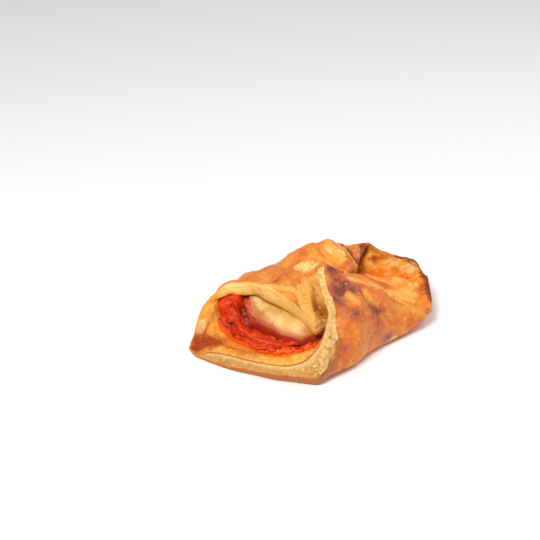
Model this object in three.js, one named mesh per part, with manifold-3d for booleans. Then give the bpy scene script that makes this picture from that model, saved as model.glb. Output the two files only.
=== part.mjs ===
// Savoury pastry basket: one square sheet of puff pastry, laid corner to corner over a filling.
// The near and the far corner are folded over the middle, the left and the right corner stay open
// as two mouths. Millimetres, +X along the basket, -Y is the near side, +Z up, base at z = 0.
import * as THREE from 'three';
import { mergeVertices } from 'three/addons/utils/BufferGeometryUtils.js';
import Module from 'manifold-3d';

const wasm = await Module();
wasm.setup();

// Driving dimensions of the baked sheet
const LEFT_TIP_X = -69;
const RIGHT_TIP_X = 67;
const TIP_REACH = 2;           // half width of the blunt left and right tips
const FOLD_FOOT = 8;           // the flat base ends this far inside the outside of a fold
const PUFF_REACH = 7;          // how far from the cut edge the layers open
const EDGE_GROOVE = 0.7;       // depth of the groove between the open layers of a cut edge
const GROOVE_FROM = 70;        // reach of the sheet from which the groove has its full depth
const RIPPLE = 0.45;           // height of the soft wrinkles in the risen crust
const GAP = 0.3;               // clearance between two sub-parts
const CENTRING = { x: 0.4, y: 1.6 };  // brings the middle of the basket's box over the origin
// Thickness of the sheet away from its cut edges: thin at both open tips
const DOUGH = [[LEFT_TIP_X, 1.9], [-55, 3.4], [-38, 4.6], [36, 4.6], [49, 3.2], [RIGHT_TIP_X, 2.6]];
const THINNEST = 1.2;          // where the sheet is squeezed most
const BEND_SQUEEZE = 0.6;      // in a bend the sheet is at most this share of the bend's radius thick

// Share by which the layers of a cut edge open: most where the near edge turns up into its flap
const NEAR_PUFF = [[LEFT_TIP_X, 0.3], [-45, 0.5], [-25, 0.55], [-12, 0.5], [0, 0.25], [30, 0.2],
  [RIGHT_TIP_X, 0.2]];
const FAR_PUFF = [[LEFT_TIP_X, 0.2], [-50, 0.2], [-35, 0.3], [-18, 0.3], [25, 0.1], [RIGHT_TIP_X, 0.1]];
// How far the inner layers stand out before the crust where the near edge turns up, towards the left mouth
const NEAR_BEVEL = [[LEFT_TIP_X, 0], [-30, 0], [-18, 4.5], [-10, 5], [-4, 3], [3, 1], [12, 0],
  [RIGHT_TIP_X, 0]];
const BEVEL_REACH = 9;         // how far from the cut edge the inner layers are drawn out

// Length of the steps along the basket: short where a cut edge turns up or over
const SECTION_STEP = [[LEFT_TIP_X, 1.6], [-60, 3.1], [-30, 3.1], [-18, 2.3], [0, 2.4], [8, 3], [22, 3],
  [30, 2.4], [44, 2.8], [51, 1.3], [56, 1.3], [RIGHT_TIP_X, 2]];
// Steps across the basket
const FLAT_ROWS = 3;           // from the centre line over the flat base
const FOLD_ROWS = 7;           // from there round the fold
const ROOF_ROWS = 10;          // from there over the roof to the cut edge
const SIDE_ROWS = FLAT_ROWS + FOLD_ROWS + ROOF_ROWS;
const FOLD_SHARE = 0.6;        // the fold ends at this share of the reach
const FOLD_LENGTH = 50;        // and at most this far from the centre line
const FLAT_SHARE = 0.42;       // the flat base takes this share of the way to the end of the fold

// Stations along the basket, as [x, value] pairs
// The centre line runs straight from tip to tip, and the right end of the base curls up off the table
const CENTRE_Y = [[LEFT_TIP_X, 16], [RIGHT_TIP_X, 1]];
const LIFT = [[LEFT_TIP_X, 0], [30, 0], [46, 4], [56, 8], [RIGHT_TIP_X, 12]];

// Near side: where the fold stands out, the height of its shoulder, and the roof of the flap
const NEAR_FOLD_Y = [[-69, -60], [-21, -45], [-13, -43.5], [-4, -42], [9, -37], [27, -32], [40, -29],
  [47, -27], [52, -25], [56, -30], [RIGHT_TIP_X, -36]];
const NEAR_SHOULDER = [[-69, 20], [-20, 26], [0, 27], [15, 25], [27, 21.5], [40, 17.5], [53, 16],
  [RIGHT_TIP_X, 18]];
const NEAR_ROOF = [[-69, 30], [-20, 32.5], [0, 33.5], [15, 32.5], [27, 28], [40, 21.5], [53, 18],
  [RIGHT_TIP_X, 18]];
const NEAR_CREST = [[-69, 35], [-20, 36], [8, 39], [20, 36.5], [27, 32], [40, 23], [53, 18.5],
  [RIGHT_TIP_X, 18]];
// How far the sheet reaches from the centre line to its cut edge, measured along the dough
const NEAR_REACH = [[LEFT_TIP_X, TIP_REACH], [-62, 14.5], [-54, 25], [-45, 35.5], [-37, 43.5], [-29, 51],
  [-22, 56], [-17, 62], [-13, 69], [-9.8, 76], [-7.8, 80], [-6.2, 85], [-4.4, 92], [-1, 101], [3.5, 107],
  [8, 109], [13, 103], [20, 93], [27, 82], [30, 75], [33, 70], [41, 60], [46, 50], [50, 39.5], [53, 30.5],
  [56, 22.5], [59, 15], [62, 9], [64.5, 5.5], [RIGHT_TIP_X, TIP_REACH]];

// Far side: the same measures. At both ends the sheet only stands up as the rim of a mouth
const FAR_FOLD_Y = [[-69, 28], [-64, 25.5], [-56, 30.5], [-48, 35.5], [-40, 40], [-29, 41.5], [-11, 40.5],
  [1, 39.5], [12, 39], [27, 34], [41, 26], [46, 21.5], [54, 16], [60, 12.5], [RIGHT_TIP_X, 8]];
const FAR_SHOULDER = [[-69, 3.5], [-64, 7], [-56, 12.5], [-48, 18.5], [-40, 21], [-29, 23.5], [-18, 25.5],
  [-5, 28], [5, 31], [12, 34], [22, 34], [30, 33], [41, 30.5], [46, 25.5], [54, 22.5], [60, 20.5],
  [RIGHT_TIP_X, 17]];
// The rim of a mouth slopes outwards: its foot is set in by this much
const FAR_SPLAY = [[LEFT_TIP_X, 2], [-60, 6], [-48, 8], [-36, 3], [-28, 0], [28, 0], [41, 6], [52, 8],
  [60, 6], [RIGHT_TIP_X, 2]];
const FAR_ROOF = [[-69, 12], [-50, 22], [-40, 25], [-29, 27], [-5, 29.5], [12, 32], [22, 31.5], [28, 31],
  [41, 33], [RIGHT_TIP_X, 26]];
const FAR_CREST = [[-69, 12], [-50, 24], [-40, 27], [-29, 28], [-5, 28.5], [8, 26.6], [20, 25.7],
  [27, 25.5], [41, 31], [RIGHT_TIP_X, 26]];
const FAR_REACH = [[LEFT_TIP_X, TIP_REACH], [-64, 8.5], [-61, 14], [-56, 24], [-48, 37], [-40, 48],
  [-38, 51], [-31, 63], [-27, 73], [-22.6, 84], [-20, 97], [-18, 108], [-16, 114], [0, 110], [12, 98],
  [22, 88], [28, 80], [30, 75], [35.6, 61], [41, 46], [46, 37], [54, 27], [60, 21.5], [62.5, 17],
  [64.5, 12.5], [RIGHT_TIP_X, TIP_REACH]];

// Pocket in the far flap, beside the cut edge of the near flap that lies over it
const POCKET = { x: -3, y: -9, alongX: 6, alongY: 15, depth: 4 };
// Pleat at the far right, where the far flap sinks between two raised burnt edges
const PLEAT = { from: 28, steep: 2.4, to: 41, gentle: 5, depth: 6, backFrom: 18, backTo: 30 };

// Fillings, resting on each other on the base: the sauce lies widest, then the ham, then the melted cheese.
// Each has a near and a far boundary in y, the height of its top above the base, a bank by which it rises
// towards the far side, and the thickness of its edge.
const SAUCE = {
  from: -50, to: 57, steps: 24, rows: 7, edge: [[-50, 0.8], [57, 0.8]],
  near: [[-50, 12], [-47.5, 3], [-44, -7], [-39, -15.5], [-31, -20.5], [-22, -21.5], [-8, -22], [20, -19],
    [40, -15], [52, -11], [57, -6]],
  far: [[-50, 21], [-48.5, 25.5], [-46, 28.5], [-42, 31.5], [-36, 35.5], [0, 36], [20, 32], [40, 20],
    [52, 12], [57, 8]],
  top: [[-50, 6], [-40, 7], [-20, 7.5], [40, 7.5], [57, 5.5]],
  bank: [[-50, 3.5], [-30, 3], [57, 3]],
  lumps: 0.35,
};
const HAM = {
  from: -34, to: 50, steps: 21, rows: 6, edge: [[-34, 2.4], [38, 2.4], [50, 0.8]],
  near: [[-34, 12], [-33, 5.5], [-30.5, -3], [-27.2, -9.5], [-21, -16.5], [-12, -18], [20, -17], [40, -14],
    [50, -9]],
  far: [[-34, 19], [-32.5, 26], [-29.5, 32], [-24, 35], [0, 35], [20, 31.5], [40, 18], [50, 11]],
  top: [[-34, 10.8], [-20, 10.5], [40, 10], [50, 8.5]],
  bank: [[-34, 1], [50, 1]],
  lumps: 0.15,
};
const CHEESE = {
  from: -31.5, to: 57.5, steps: 24, rows: 7, edge: [[-31.5, 1.6], [57.5, 1.6]],
  near: [[-31.5, 11], [-30.5, 4.5], [-28.2, -2.5], [-24.8, -9.5], [-19, -15], [-10, -16.5], [20, -15.5],
    [40, -13.5], [52, -12], [57.5, -7]],
  far: [[-31.5, 16], [-30, 22], [-27, 30], [-22, 34], [0, 34.5], [20, 31], [40, 20], [52, 12], [57.5, 9]],
  top: [[-31.5, 13.4], [-25, 16.5], [-10, 19], [20, 20], [34, 18], [46, 12.5], [57.5, 7]],
  bank: [[-31.5, 2], [25, 2], [38, 9], [48, 8], [57.5, 4]],
  lumps: 0.6,
};
const BED = 1.2;               // extra room under each filling
// Bacon strips half sunk in the sauce of the left mouth: centre lines as [x, y, height], width and thickness
const BACON_WIDTH = 5;
const BACON_THICKNESS = 1.8;
const BACON_WAVE = 0.8;
const BACON_STEPS = 11;
const BACON_STRIPS = [
  [[-33, 32, 11], [-38.5, 31, 9.6], [-42.6, 25.5, 9], [-43, 18, 8.4]],
  [[-42, 14, 7.8], [-41.5, 4, 7.8], [-37.5, -6, 8], [-31.5, -14, 8.2]],
];

// Monotone cubic curve through [x, value] stations: smooth, and it never overshoots a station
function along(stations) {
  const n = stations.length;
  const slope = (i) => (stations[i + 1][1] - stations[i][1]) / (stations[i + 1][0] - stations[i][0]);
  const tangents = stations.map((s, i) => {
    if (i === 0) return slope(0);
    if (i === n - 1) return slope(n - 2);
    const before = slope(i - 1);
    const after = slope(i);
    return before * after <= 0 ? 0 : (2 * before * after) / (before + after);
  });
  return (x) => {
    let i = 0;
    while (i < n - 2 && x > stations[i + 1][0]) i += 1;
    const [x0, v0] = stations[i];
    const [x1, v1] = stations[i + 1];
    const h = x1 - x0;
    const t = THREE.MathUtils.clamp((x - x0) / h, 0, 1);
    const rise = (3 - 2 * t) * t * t;
    return v0 + (v1 - v0) * rise + h * tangents[i] * t * (1 - t) ** 2 - h * tangents[i + 1] * t * t * (1 - t);
  };
}

const centreY = along(CENTRE_Y);
const dough = along(DOUGH);
const lift = along(LIFT);
// A side's shoulder is set in by its lean, its crest lies past the centre line by its over, and the last
// leg of its outline falls by its drop
const near = {
  sign: -1,
  foldY: along(NEAR_FOLD_Y),
  splay: () => 0,
  shoulder: along(NEAR_SHOULDER),
  lean: 5,
  roof: along(NEAR_ROOF),
  crest: along(NEAR_CREST),
  over: 22,
  drop: -2,
  reach: along(NEAR_REACH),
  puff: along(NEAR_PUFF),
  bevel: along(NEAR_BEVEL),
};
const far = {
  sign: 1,
  foldY: along(FAR_FOLD_Y),
  splay: along(FAR_SPLAY),
  shoulder: along(FAR_SHOULDER),
  lean: 3,
  roof: along(FAR_ROOF),
  crest: along(FAR_CREST),
  over: 12,
  drop: 25,
  reach: along(FAR_REACH),
  puff: along(FAR_PUFF),
  bevel: () => 0,
};
const OVERLAP = 56;            // length of the last leg of an outline, past the crest

// Outline of one side at one section: from the centre line out over the flat base, round the fold,
// up to the shoulder and back over the roof. Corners are rounded by parabolas.
function sidePath(side, x) {
  const width = side.sign * (side.foldY(x) - centreY(x));
  const base = lift(x);
  const shoulder = side.shoulder(x);
  const splay = Math.min(side.splay(x), 0.4 * width);
  const corner = width - splay;
  const foot = Math.min(2 * FOLD_FOOT, 0.8 * corner);
  const lean = side.lean * (1 - Math.min(1, splay / 3));
  const corners = [
    [0, base], [corner - foot, base], [corner, base], [width - 0.4 * splay, base + 0.55 * (shoulder - base)],
    [width - lean, shoulder], [0.45 * width, side.roof(x)], [-side.over, side.crest(x)],
    [-side.over - OVERLAP, side.crest(x) - side.drop],
  ];
  const points = corners.map(([w, z]) => new THREE.Vector2(w, z));
  const middle = (i) => points[i].clone().lerp(points[i + 1], 0.5);
  const path = new THREE.CurvePath();
  path.add(new THREE.LineCurve(points[0], middle(0)));
  for (let i = 1; i < points.length - 1; i += 1) {
    path.add(new THREE.QuadraticBezierCurve(middle(i - 1), points[i], middle(i)));
  }
  return path;
}

// Distance of a row from the centre line: few rows on the flat base, many round the fold and on the roof
function rowDistance(k, reach) {
  const { lerp } = THREE.MathUtils;
  const foldEnd = Math.min(FOLD_SHARE * reach, FOLD_LENGTH);
  const flatEnd = FLAT_SHARE * foldEnd;
  if (k <= FLAT_ROWS) return (flatEnd * k) / FLAT_ROWS;
  if (k <= FLAT_ROWS + FOLD_ROWS) return lerp(flatEnd, foldEnd, (k - FLAT_ROWS) / FOLD_ROWS);
  return lerp(foldEnd, reach, (k - FLAT_ROWS - FOLD_ROWS) / ROOF_ROWS);
}

// Height added to the folded sheet: the pocket and the pleat of the far flap, and soft wrinkles
function relief(side, x, y, z, distance) {
  const { smoothstep } = THREE.MathUtils;
  const risen = smoothstep(z, lift(x) + 2, lift(x) + 12);
  const covered = side === far && distance > 45 ? smoothstep(y, -5, 12) : 1;
  const wrinkles = Math.sin(0.5 * x + 0.04 * distance) + Math.sin(0.27 * x - 0.11 * distance + 1);
  let height = RIPPLE * risen * covered * wrinkles;
  if (side === far && distance > 45) {
    const roof = smoothstep(z, 18, 25);
    const inPocket = ((x - POCKET.x) / POCKET.alongX) ** 2 + ((y - POCKET.y) / POCKET.alongY) ** 2;
    height -= roof * POCKET.depth * Math.exp(-inPocket);
    const fall = smoothstep(x, PLEAT.from, PLEAT.from + PLEAT.steep);
    const rise = smoothstep(x, PLEAT.to - PLEAT.gentle, PLEAT.to);
    const back = smoothstep(y, PLEAT.backFrom, PLEAT.backTo);
    height -= roof * PLEAT.depth * fall * (1 - rise) * (1 - back);
  }
  return height;
}

// Places of the sections, from tip to tip
function sectionPlaces() {
  const step = along(SECTION_STEP);
  const places = [LEFT_TIP_X];
  while (places.at(-1) < RIGHT_TIP_X) places.push(places.at(-1) + step(places.at(-1)));
  const stretch = (RIGHT_TIP_X - LEFT_TIP_X) / (places.at(-1) - LEFT_TIP_X);
  return places.map((x) => LEFT_TIP_X + (x - LEFT_TIP_X) * stretch);
}

// Outer face of the sheet as a grid of points: one section per step in x, rows from far edge to near edge
function outerGrid() {
  const grid = [];
  for (const x of sectionPlaces()) {
    const row = [];
    for (const side of [far, near]) {
      const path = sidePath(side, x);
      const length = path.getLength();
      for (let k = side === near ? 1 : 0; k <= SIDE_ROWS; k += 1) {
        const distance = rowDistance(k, side.reach(x));
        const p = path.getPointAt(Math.min(1, distance / length));
        const y = centreY(x) + side.sign * p.x;
        const z = p.y + relief(side, x, y, p.y, distance);
        const fromEdge = side.reach(x) - distance;
        const open = 1 + side.puff(x) * Math.exp(-((fromEdge / PUFF_REACH) ** 2));
        const entry = {
          point: new THREE.Vector3(x, y, z),
          along: side.sign * distance,
          thickness: dough(x) * open,
          bevel: side.bevel(x) * Math.exp(-((fromEdge / BEVEL_REACH) ** 2)),
        };
        if (side === far) row.unshift(entry);
        else row.push(entry);
      }
    }
    grid.push(row);
  }
  return grid;
}

// Closed mesh from an outer and an inner grid of points: both faces, cut edges with a groove, end faces
function closedSheet(extra) {
  const grid = outerGrid();
  const rows = grid[0].length;
  const last = rows - 1;
  const sections = grid.length - 1;
  const points = [];
  const neighbour = (s, k) => grid[THREE.MathUtils.clamp(s, 0, sections)][THREE.MathUtils.clamp(k, 0, last)];
  grid.forEach((row, s) => row.forEach((entry, k) => {
    const lengthways = neighbour(s + 1, k).point.clone().sub(neighbour(s - 1, k).point);
    const across = neighbour(s, k - 1).point.clone().sub(neighbour(s, k + 1).point);
    entry.normal = lengthways.cross(across).normalize();
  }));
  // Radius of the bend at a grid point: how fast the normal turns over the distance to its neighbours
  const bendLimit = (s, k) => {
    const turn = (a, b) => a.normal.distanceTo(b.normal) / Math.max(0.02, a.point.distanceTo(b.point));
    const across = turn(neighbour(s, k - 1), neighbour(s, k + 1));
    const lengthways = turn(neighbour(s - 1, k), neighbour(s + 1, k));
    return BEND_SQUEEZE / Math.max(across, lengthways, 0.01);
  };
  const limit = grid.map((row, s) => row.map((_, k) => bendLimit(s, k)));
  const squeezed = (s, k) => Math.min(...[-1, 0, 1].flatMap((i) => [-1, 0, 1].map((j) => (
    limit[THREE.MathUtils.clamp(s + i, 0, sections)][THREE.MathUtils.clamp(k + j, 0, last)]))));
  // Grown by extra on all sides: both faces along the normals, and the cut edges outwards
  const outwards = (s, k) => {
    if (k !== 0 && k !== last) return new THREE.Vector3();
    return grid[s][k].point.clone().sub(grid[s][k === 0 ? 1 : last - 1].point).setLength(extra);
  };
  const offset = (depthAt) => grid.map((row, s) => row.map((entry, k) => {
    const moved = entry.point.clone().addScaledVector(entry.normal, depthAt(entry, s, k));
    return points.push(moved.add(outwards(s, k))) - 1;
  }));
  const outer = offset(() => -extra);
  const depth = (thickness, s, k) => Math.max(THINNEST, Math.min(thickness, squeezed(s, k)));
  const inner = offset((entry, s, k) => depth(entry.thickness, s, k) + extra);
  grid.forEach((row, s) => row.forEach(({ bevel }, k) => {
    points[inner[s][k]].x -= bevel;
  }));
  // Middle of each cut edge, set back towards the sheet
  const groove = (s, k, beside) => {
    const middle = points[outer[s][k]].clone().lerp(points[inner[s][k]], 0.5);
    const inward = points[outer[s][beside]].clone().sub(points[outer[s][k]]).normalize();
    const setBack = EDGE_GROOVE * Math.min(1, Math.abs(grid[s][k].along) / GROOVE_FROM);
    return points.push(middle.addScaledVector(inward, setBack)) - 1;
  };
  const farGroove = grid.map((row, s) => groove(s, 0, 1));
  const nearGroove = grid.map((row, s) => groove(s, last, last - 1));
  const faces = [];
  const quad = (a, b, c, d) => faces.push(a, b, c, a, c, d);
  const turned = (a, b, c, d) => faces.push(b, c, d, b, d, a);
  for (let s = 0; s < sections; s += 1) {
    for (let k = 0; k < last; k += 1) {
      // The diagonal joins the two corners that lie at the more equal distance from the centre line
      const [p, q] = [grid[s], grid[s + 1]];
      const even = Math.abs(p[k].along - q[k + 1].along) < Math.abs(p[k + 1].along - q[k].along);
      const split = even ? quad : turned;
      split(outer[s][k], outer[s + 1][k], outer[s + 1][k + 1], outer[s][k + 1]);
      if (even) quad(inner[s][k], inner[s][k + 1], inner[s + 1][k + 1], inner[s + 1][k]);
      else turned(inner[s][k], inner[s][k + 1], inner[s + 1][k + 1], inner[s + 1][k]);
    }
    quad(outer[s][0], farGroove[s], farGroove[s + 1], outer[s + 1][0]);
    quad(farGroove[s], inner[s][0], inner[s + 1][0], farGroove[s + 1]);
    quad(outer[s + 1][last], nearGroove[s + 1], nearGroove[s], outer[s][last]);
    quad(nearGroove[s + 1], inner[s + 1][last], inner[s][last], nearGroove[s]);
  }
  for (const [s, flip] of [[0, false], [sections, true]]) {
    const rim = [...outer[s], nearGroove[s], ...inner[s].slice().reverse(), farGroove[s]];
    const middle = rim.reduce((sum, i) => sum.add(points[i]), new THREE.Vector3()).divideScalar(rim.length);
    const centre = points.push(middle) - 1;
    rim.forEach((index, i) => {
      const next = rim[(i + 1) % rim.length];
      if (flip) faces.push(next, index, centre);
      else faces.push(index, next, centre);
    });
  }
  return meshGeometry(points, faces);
}

function meshGeometry(points, faces) {
  const geometry = new THREE.BufferGeometry();
  geometry.setAttribute('position', new THREE.Float32BufferAttribute(points.flatMap((p) => p.toArray()), 3));
  geometry.setIndex(faces);
  return mergeVertices(geometry, 1e-4);
}

// One layer of the filling: its boundaries, and the height of its top anywhere inside them
function layer({ from, to, steps, rows, lumps, ...lists }, under) {
  const { near: nearList, far: farList, top: topList } = lists;
  const [nearY, farY, crown, bank, edge] = [nearList, farList, topList, lists.bank, lists.edge].map(along);
  const floor = (x, y) => (under ? under.top(x, y) : lift(x) + dough(x)) + BED;
  const top = (x, y) => {
    const across = (2 * (y - nearY(x))) / (farY(x) - nearY(x)) - 1;
    const down = (2 * (x - from)) / (to - from) - 1;
    const fullness = (1 - Math.min(1, across ** 6)) * (1 - Math.min(1, down ** 10));
    const lump = lumps * (Math.sin(0.42 * x + 0.3 * y) + Math.sin(0.55 * y - 0.23 * x + 2));
    const low = floor(x, y) + edge(x);
    const banked = bank(x) * THREE.MathUtils.smoothstep(across, 0.1, 1);
    return low + Math.max(0, lift(x) + crown(x) + lump + banked - low) * fullness;
  };
  return { from, to, steps, rows, nearY, farY, floor, top };
}

// Closed grid mesh of a layer between its floor and its top, which can be raised by a clearance
function layerGeometry({ from, to, steps, rows, nearY, farY, floor, top }, clearance = 0) {
  const points = [];
  const face = (height, raised) => Array.from({ length: steps + 1 }, (_, s) => {
    const x = from + ((to - from) * s) / steps;
    return Array.from({ length: rows + 1 }, (__, k) => {
      const y = THREE.MathUtils.lerp(nearY(x), farY(x), 0.5 - 0.5 * Math.cos((Math.PI * k) / rows));
      return points.push(new THREE.Vector3(x, y, height(x, y) + raised)) - 1;
    });
  });
  return meshGeometry(points, closedFaces(face(floor, 0), face(top, clearance)));
}

// Faces of a closed slab between a lower and an upper grid of point numbers
function closedFaces(lower, upper) {
  const faces = [];
  const quad = (a, b, c, d) => faces.push(a, b, c, a, c, d);
  const steps = lower.length - 1;
  const rows = lower[0].length - 1;
  for (let s = 0; s < steps; s += 1) {
    for (let k = 0; k < rows; k += 1) {
      quad(upper[s][k], upper[s + 1][k], upper[s + 1][k + 1], upper[s][k + 1]);
      quad(lower[s][k], lower[s][k + 1], lower[s + 1][k + 1], lower[s + 1][k]);
    }
    quad(lower[s][0], lower[s + 1][0], upper[s + 1][0], upper[s][0]);
    quad(lower[s + 1][rows], lower[s][rows], upper[s][rows], upper[s + 1][rows]);
  }
  for (let k = 0; k < rows; k += 1) {
    quad(lower[0][k + 1], lower[0][k], upper[0][k], upper[0][k + 1]);
    quad(lower[steps][k], lower[steps][k + 1], upper[steps][k + 1], upper[steps][k]);
  }
  return faces;
}

// A wavy strip of bacon along a curve through its centre points, grown on all sides by a clearance
function baconGeometry(strip, clearance) {
  const curve = new THREE.CatmullRomCurve3(strip.map((p) => new THREE.Vector3(...p)));
  const half = BACON_WIDTH / 2 + clearance;
  const across = [-1, 0, 1];
  const points = [];
  const face = (side) => Array.from({ length: BACON_STEPS + 1 }, (_, s) => {
    const t = s / BACON_STEPS;
    const centre = curve.getPointAt(t);
    const tangent = curve.getTangentAt(t);
    const end = s === 0 ? -clearance : (s === BACON_STEPS ? clearance : 0);
    const sideways = new THREE.Vector3(0, 0, 1).cross(tangent).normalize();
    return across.map((v) => {
      const wave = BACON_WAVE * Math.sin(9 * t + 1.8 * v) * Math.abs(v);
      const height = wave + side * (clearance + 0.5 * BACON_THICKNESS * (1 - 0.5 * v * v));
      const point = centre.clone().addScaledVector(sideways, half * v).addScaledVector(tangent, end);
      point.z += height;
      return points.push(point) - 1;
    });
  });
  return meshGeometry(points, closedFaces(face(-1), face(1)));
}

// Solids for cutting and joining, from a closed geometry and back
function solid(geometry) {
  const vertProperties = new Float32Array(geometry.attributes.position.array);
  const triVerts = new Uint32Array(geometry.index.array);
  return new wasm.Manifold(new wasm.Mesh({ numProp: 3, vertProperties, triVerts }));
}

function cut(geometry, ...tools) {
  const rest = tools.reduce((body, tool) => body.subtract(solid(tool)), solid(geometry));
  const { vertProperties, triVerts } = rest.getMesh();
  const result = new THREE.BufferGeometry();
  result.setAttribute('position', new THREE.BufferAttribute(vertProperties, 3));
  result.setIndex(new THREE.BufferAttribute(triVerts, 1));
  return result;
}

const MATERIALS = {
  crust: new THREE.MeshStandardMaterial({ color: 0xdc8a42, roughness: 0.42, metalness: 0 }),
  sauce: new THREE.MeshStandardMaterial({ color: 0xd8401c, roughness: 0.3, metalness: 0 }),
  bacon: new THREE.MeshStandardMaterial({ color: 0xb8351f, roughness: 0.35, metalness: 0 }),
  ham: new THREE.MeshStandardMaterial({ color: 0xd98a72, roughness: 0.4, metalness: 0 }),
  cheese: new THREE.MeshStandardMaterial({ color: 0xf0dc94, roughness: 0.35, metalness: 0 }),
};

const group = new THREE.Group();
group.position.set(CENTRING.x, CENTRING.y, 0);
function place(name, geometry, material) {
  const mesh = new THREE.Mesh(geometry, material);
  mesh.name = name;
  group.add(mesh);
}

const room = closedSheet(2 * GAP);
const sauce = layer(SAUCE);
const ham = layer(HAM, sauce);
const cheese = layer(CHEESE, ham);
place('pastry', closedSheet(0), MATERIALS.crust);
const grownBacon = BACON_STRIPS.map((strip) => baconGeometry(strip, GAP));
place('tomato_sauce', cut(layerGeometry(sauce), room, ...grownBacon), MATERIALS.sauce);
BACON_STRIPS.forEach((strip, i) => {
  place(`bacon_strip_${i + 1}`, cut(baconGeometry(strip, 0), room), MATERIALS.bacon);
});
place('ham_slice', cut(layerGeometry(ham), room, layerGeometry(sauce, GAP), ...grownBacon), MATERIALS.ham);
place('melted_cheese', cut(layerGeometry(cheese), room, layerGeometry(ham, GAP)), MATERIALS.cheese);

export default group;
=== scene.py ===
# %% [markdown]
# A savoury pastry basket, rebuilt for a close look
#
# One square sheet of puff pastry lies corner to corner over its filling. The near and the far corner
# are folded over the middle, so that the left and the right corner stay open as two mouths, where the
# tomato sauce, the bacon, the ham and the melted cheese show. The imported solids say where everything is.
# Here each of them gets the fine surface of the real food: blistered, glazed crust, torn flaky edges,
# lumpy sauce and soft cheese. All shapes are surfaces of two parameters, worked out as whole arrays.

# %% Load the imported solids
import itertools
import math

import bpy
import numpy as np
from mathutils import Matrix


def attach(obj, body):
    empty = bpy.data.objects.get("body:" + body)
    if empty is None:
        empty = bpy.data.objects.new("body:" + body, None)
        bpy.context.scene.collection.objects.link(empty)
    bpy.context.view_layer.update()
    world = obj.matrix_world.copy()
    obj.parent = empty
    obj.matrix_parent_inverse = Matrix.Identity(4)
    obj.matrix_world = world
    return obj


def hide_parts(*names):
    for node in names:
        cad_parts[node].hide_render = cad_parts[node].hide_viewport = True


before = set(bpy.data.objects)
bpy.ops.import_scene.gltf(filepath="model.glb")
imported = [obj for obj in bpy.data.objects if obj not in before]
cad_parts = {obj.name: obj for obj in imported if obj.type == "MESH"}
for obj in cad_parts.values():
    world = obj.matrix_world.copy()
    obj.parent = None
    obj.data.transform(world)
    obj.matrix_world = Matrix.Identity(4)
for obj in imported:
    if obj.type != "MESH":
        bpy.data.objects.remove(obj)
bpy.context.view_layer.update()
print("solids:", sorted(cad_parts))

# %% [markdown]
# The camera comes first
#
# The photograph looks down on the basket at 32 degrees, from 30 degrees to the left of its near side,
# as a product picture taken from about 60 cm. The basket lies beside the middle of the picture, which
# the camera's shift repeats, so that the perspective stays as it is.

# %% Camera
CAMERA_AZIMUTH = math.radians(-30)
CAMERA_ELEVATION = math.radians(32)
CAMERA_DISTANCE = 0.6
CAMERA_TARGET = np.array([0.0004, 0.0136, 0.0])
SENSOR = 36.0
PICTURE_SIDE = 540
FOCAL_PIXELS = 1116.0
TARGET_PIXEL = (311, 320)


def camera_back():
    """The direction from the target to the camera: east by the sine of the azimuth, raised by the
    elevation."""
    flat = math.cos(CAMERA_ELEVATION)
    east, north = math.sin(CAMERA_AZIMUTH) * flat, -math.cos(CAMERA_AZIMUTH) * flat
    return np.array([east, north, math.sin(CAMERA_ELEVATION)])


def make_camera():
    """A camera at its distance from the target, looking at it, shifted as the photograph is framed."""
    data = bpy.data.cameras.new("photo_camera")
    data.sensor_width = SENSOR
    data.lens = FOCAL_PIXELS * SENSOR / PICTURE_SIDE
    data.shift_x = (PICTURE_SIDE / 2 - TARGET_PIXEL[0]) / PICTURE_SIDE
    data.shift_y = (TARGET_PIXEL[1] - PICTURE_SIDE / 2) / PICTURE_SIDE
    data.clip_start = 0.01
    camera = bpy.data.objects.new("photo_camera", data)
    camera.location = CAMERA_TARGET + CAMERA_DISTANCE * camera_back()
    camera.rotation_euler = (math.pi / 2 - CAMERA_ELEVATION, 0, CAMERA_AZIMUTH)
    bpy.context.collection.objects.link(camera)
    bpy.context.scene.camera = camera
    return camera


camera = make_camera()
print("camera at", [round(value, 3) for value in camera.location], "lens", round(camera.data.lens, 1))

# %% [markdown]
# Curves through stations
#
# A folded sheet changes all along its length: its width, the height of its roof, how far it reaches.
# Each of these is a short list of stations. A monotone cubic runs through them: smooth, and it never
# rises or falls past a station, so a list stays easy to read and to change.

# %% Curves through stations
MM = 0.001
CENTRING = np.array([0.4, 1.6, 0.0])  # brings the middle of the basket's box over the frame's origin


def along(stations):
    """A curve through [x, value] stations: between two of them a cubic whose end slopes are the harmonic
    mean of the slopes on both sides, or level where these differ in sign."""
    places, values = np.array(stations, float).T
    slopes = np.diff(values) / np.diff(places)
    before, after = slopes[:-1], slopes[1:]
    same_sign = before * after > 0
    total = np.where(same_sign, before + after, 1)
    middle = np.where(same_sign, 2 * before * after / total, 0)
    tangents = np.concatenate([slopes[:1], middle, slopes[-1:]])

    def curve(x):
        x = np.asarray(x, float)
        i = np.clip(np.searchsorted(places, x, side="right") - 1, 0, len(places) - 2)
        h = places[i + 1] - places[i]
        t = np.clip((x - places[i]) / h, 0, 1)
        rise = (3 - 2 * t) * t * t
        bend = tangents[i] * t * (1 - t) ** 2 - tangents[i + 1] * t * t * (1 - t)
        return values[i] + (values[i + 1] - values[i]) * rise + h * bend

    return curve


def step(value, low, high):
    """0 up to low, 1 from high on, and 3t^2 - 2t^3 between them. Where high is the smaller number, the
    step falls instead."""
    t = np.clip((value - low) / (high - low), 0, 1)
    return t * t * (3 - 2 * t)


def unit(vectors):
    """Each vector divided by its length."""
    return vectors / np.maximum(np.linalg.norm(vectors, axis=-1, keepdims=True), 1e-9)


print("half way between stations:", along([[0, 0], [10, 4], [20, 5]])([5.0, 15.0]))

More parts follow.
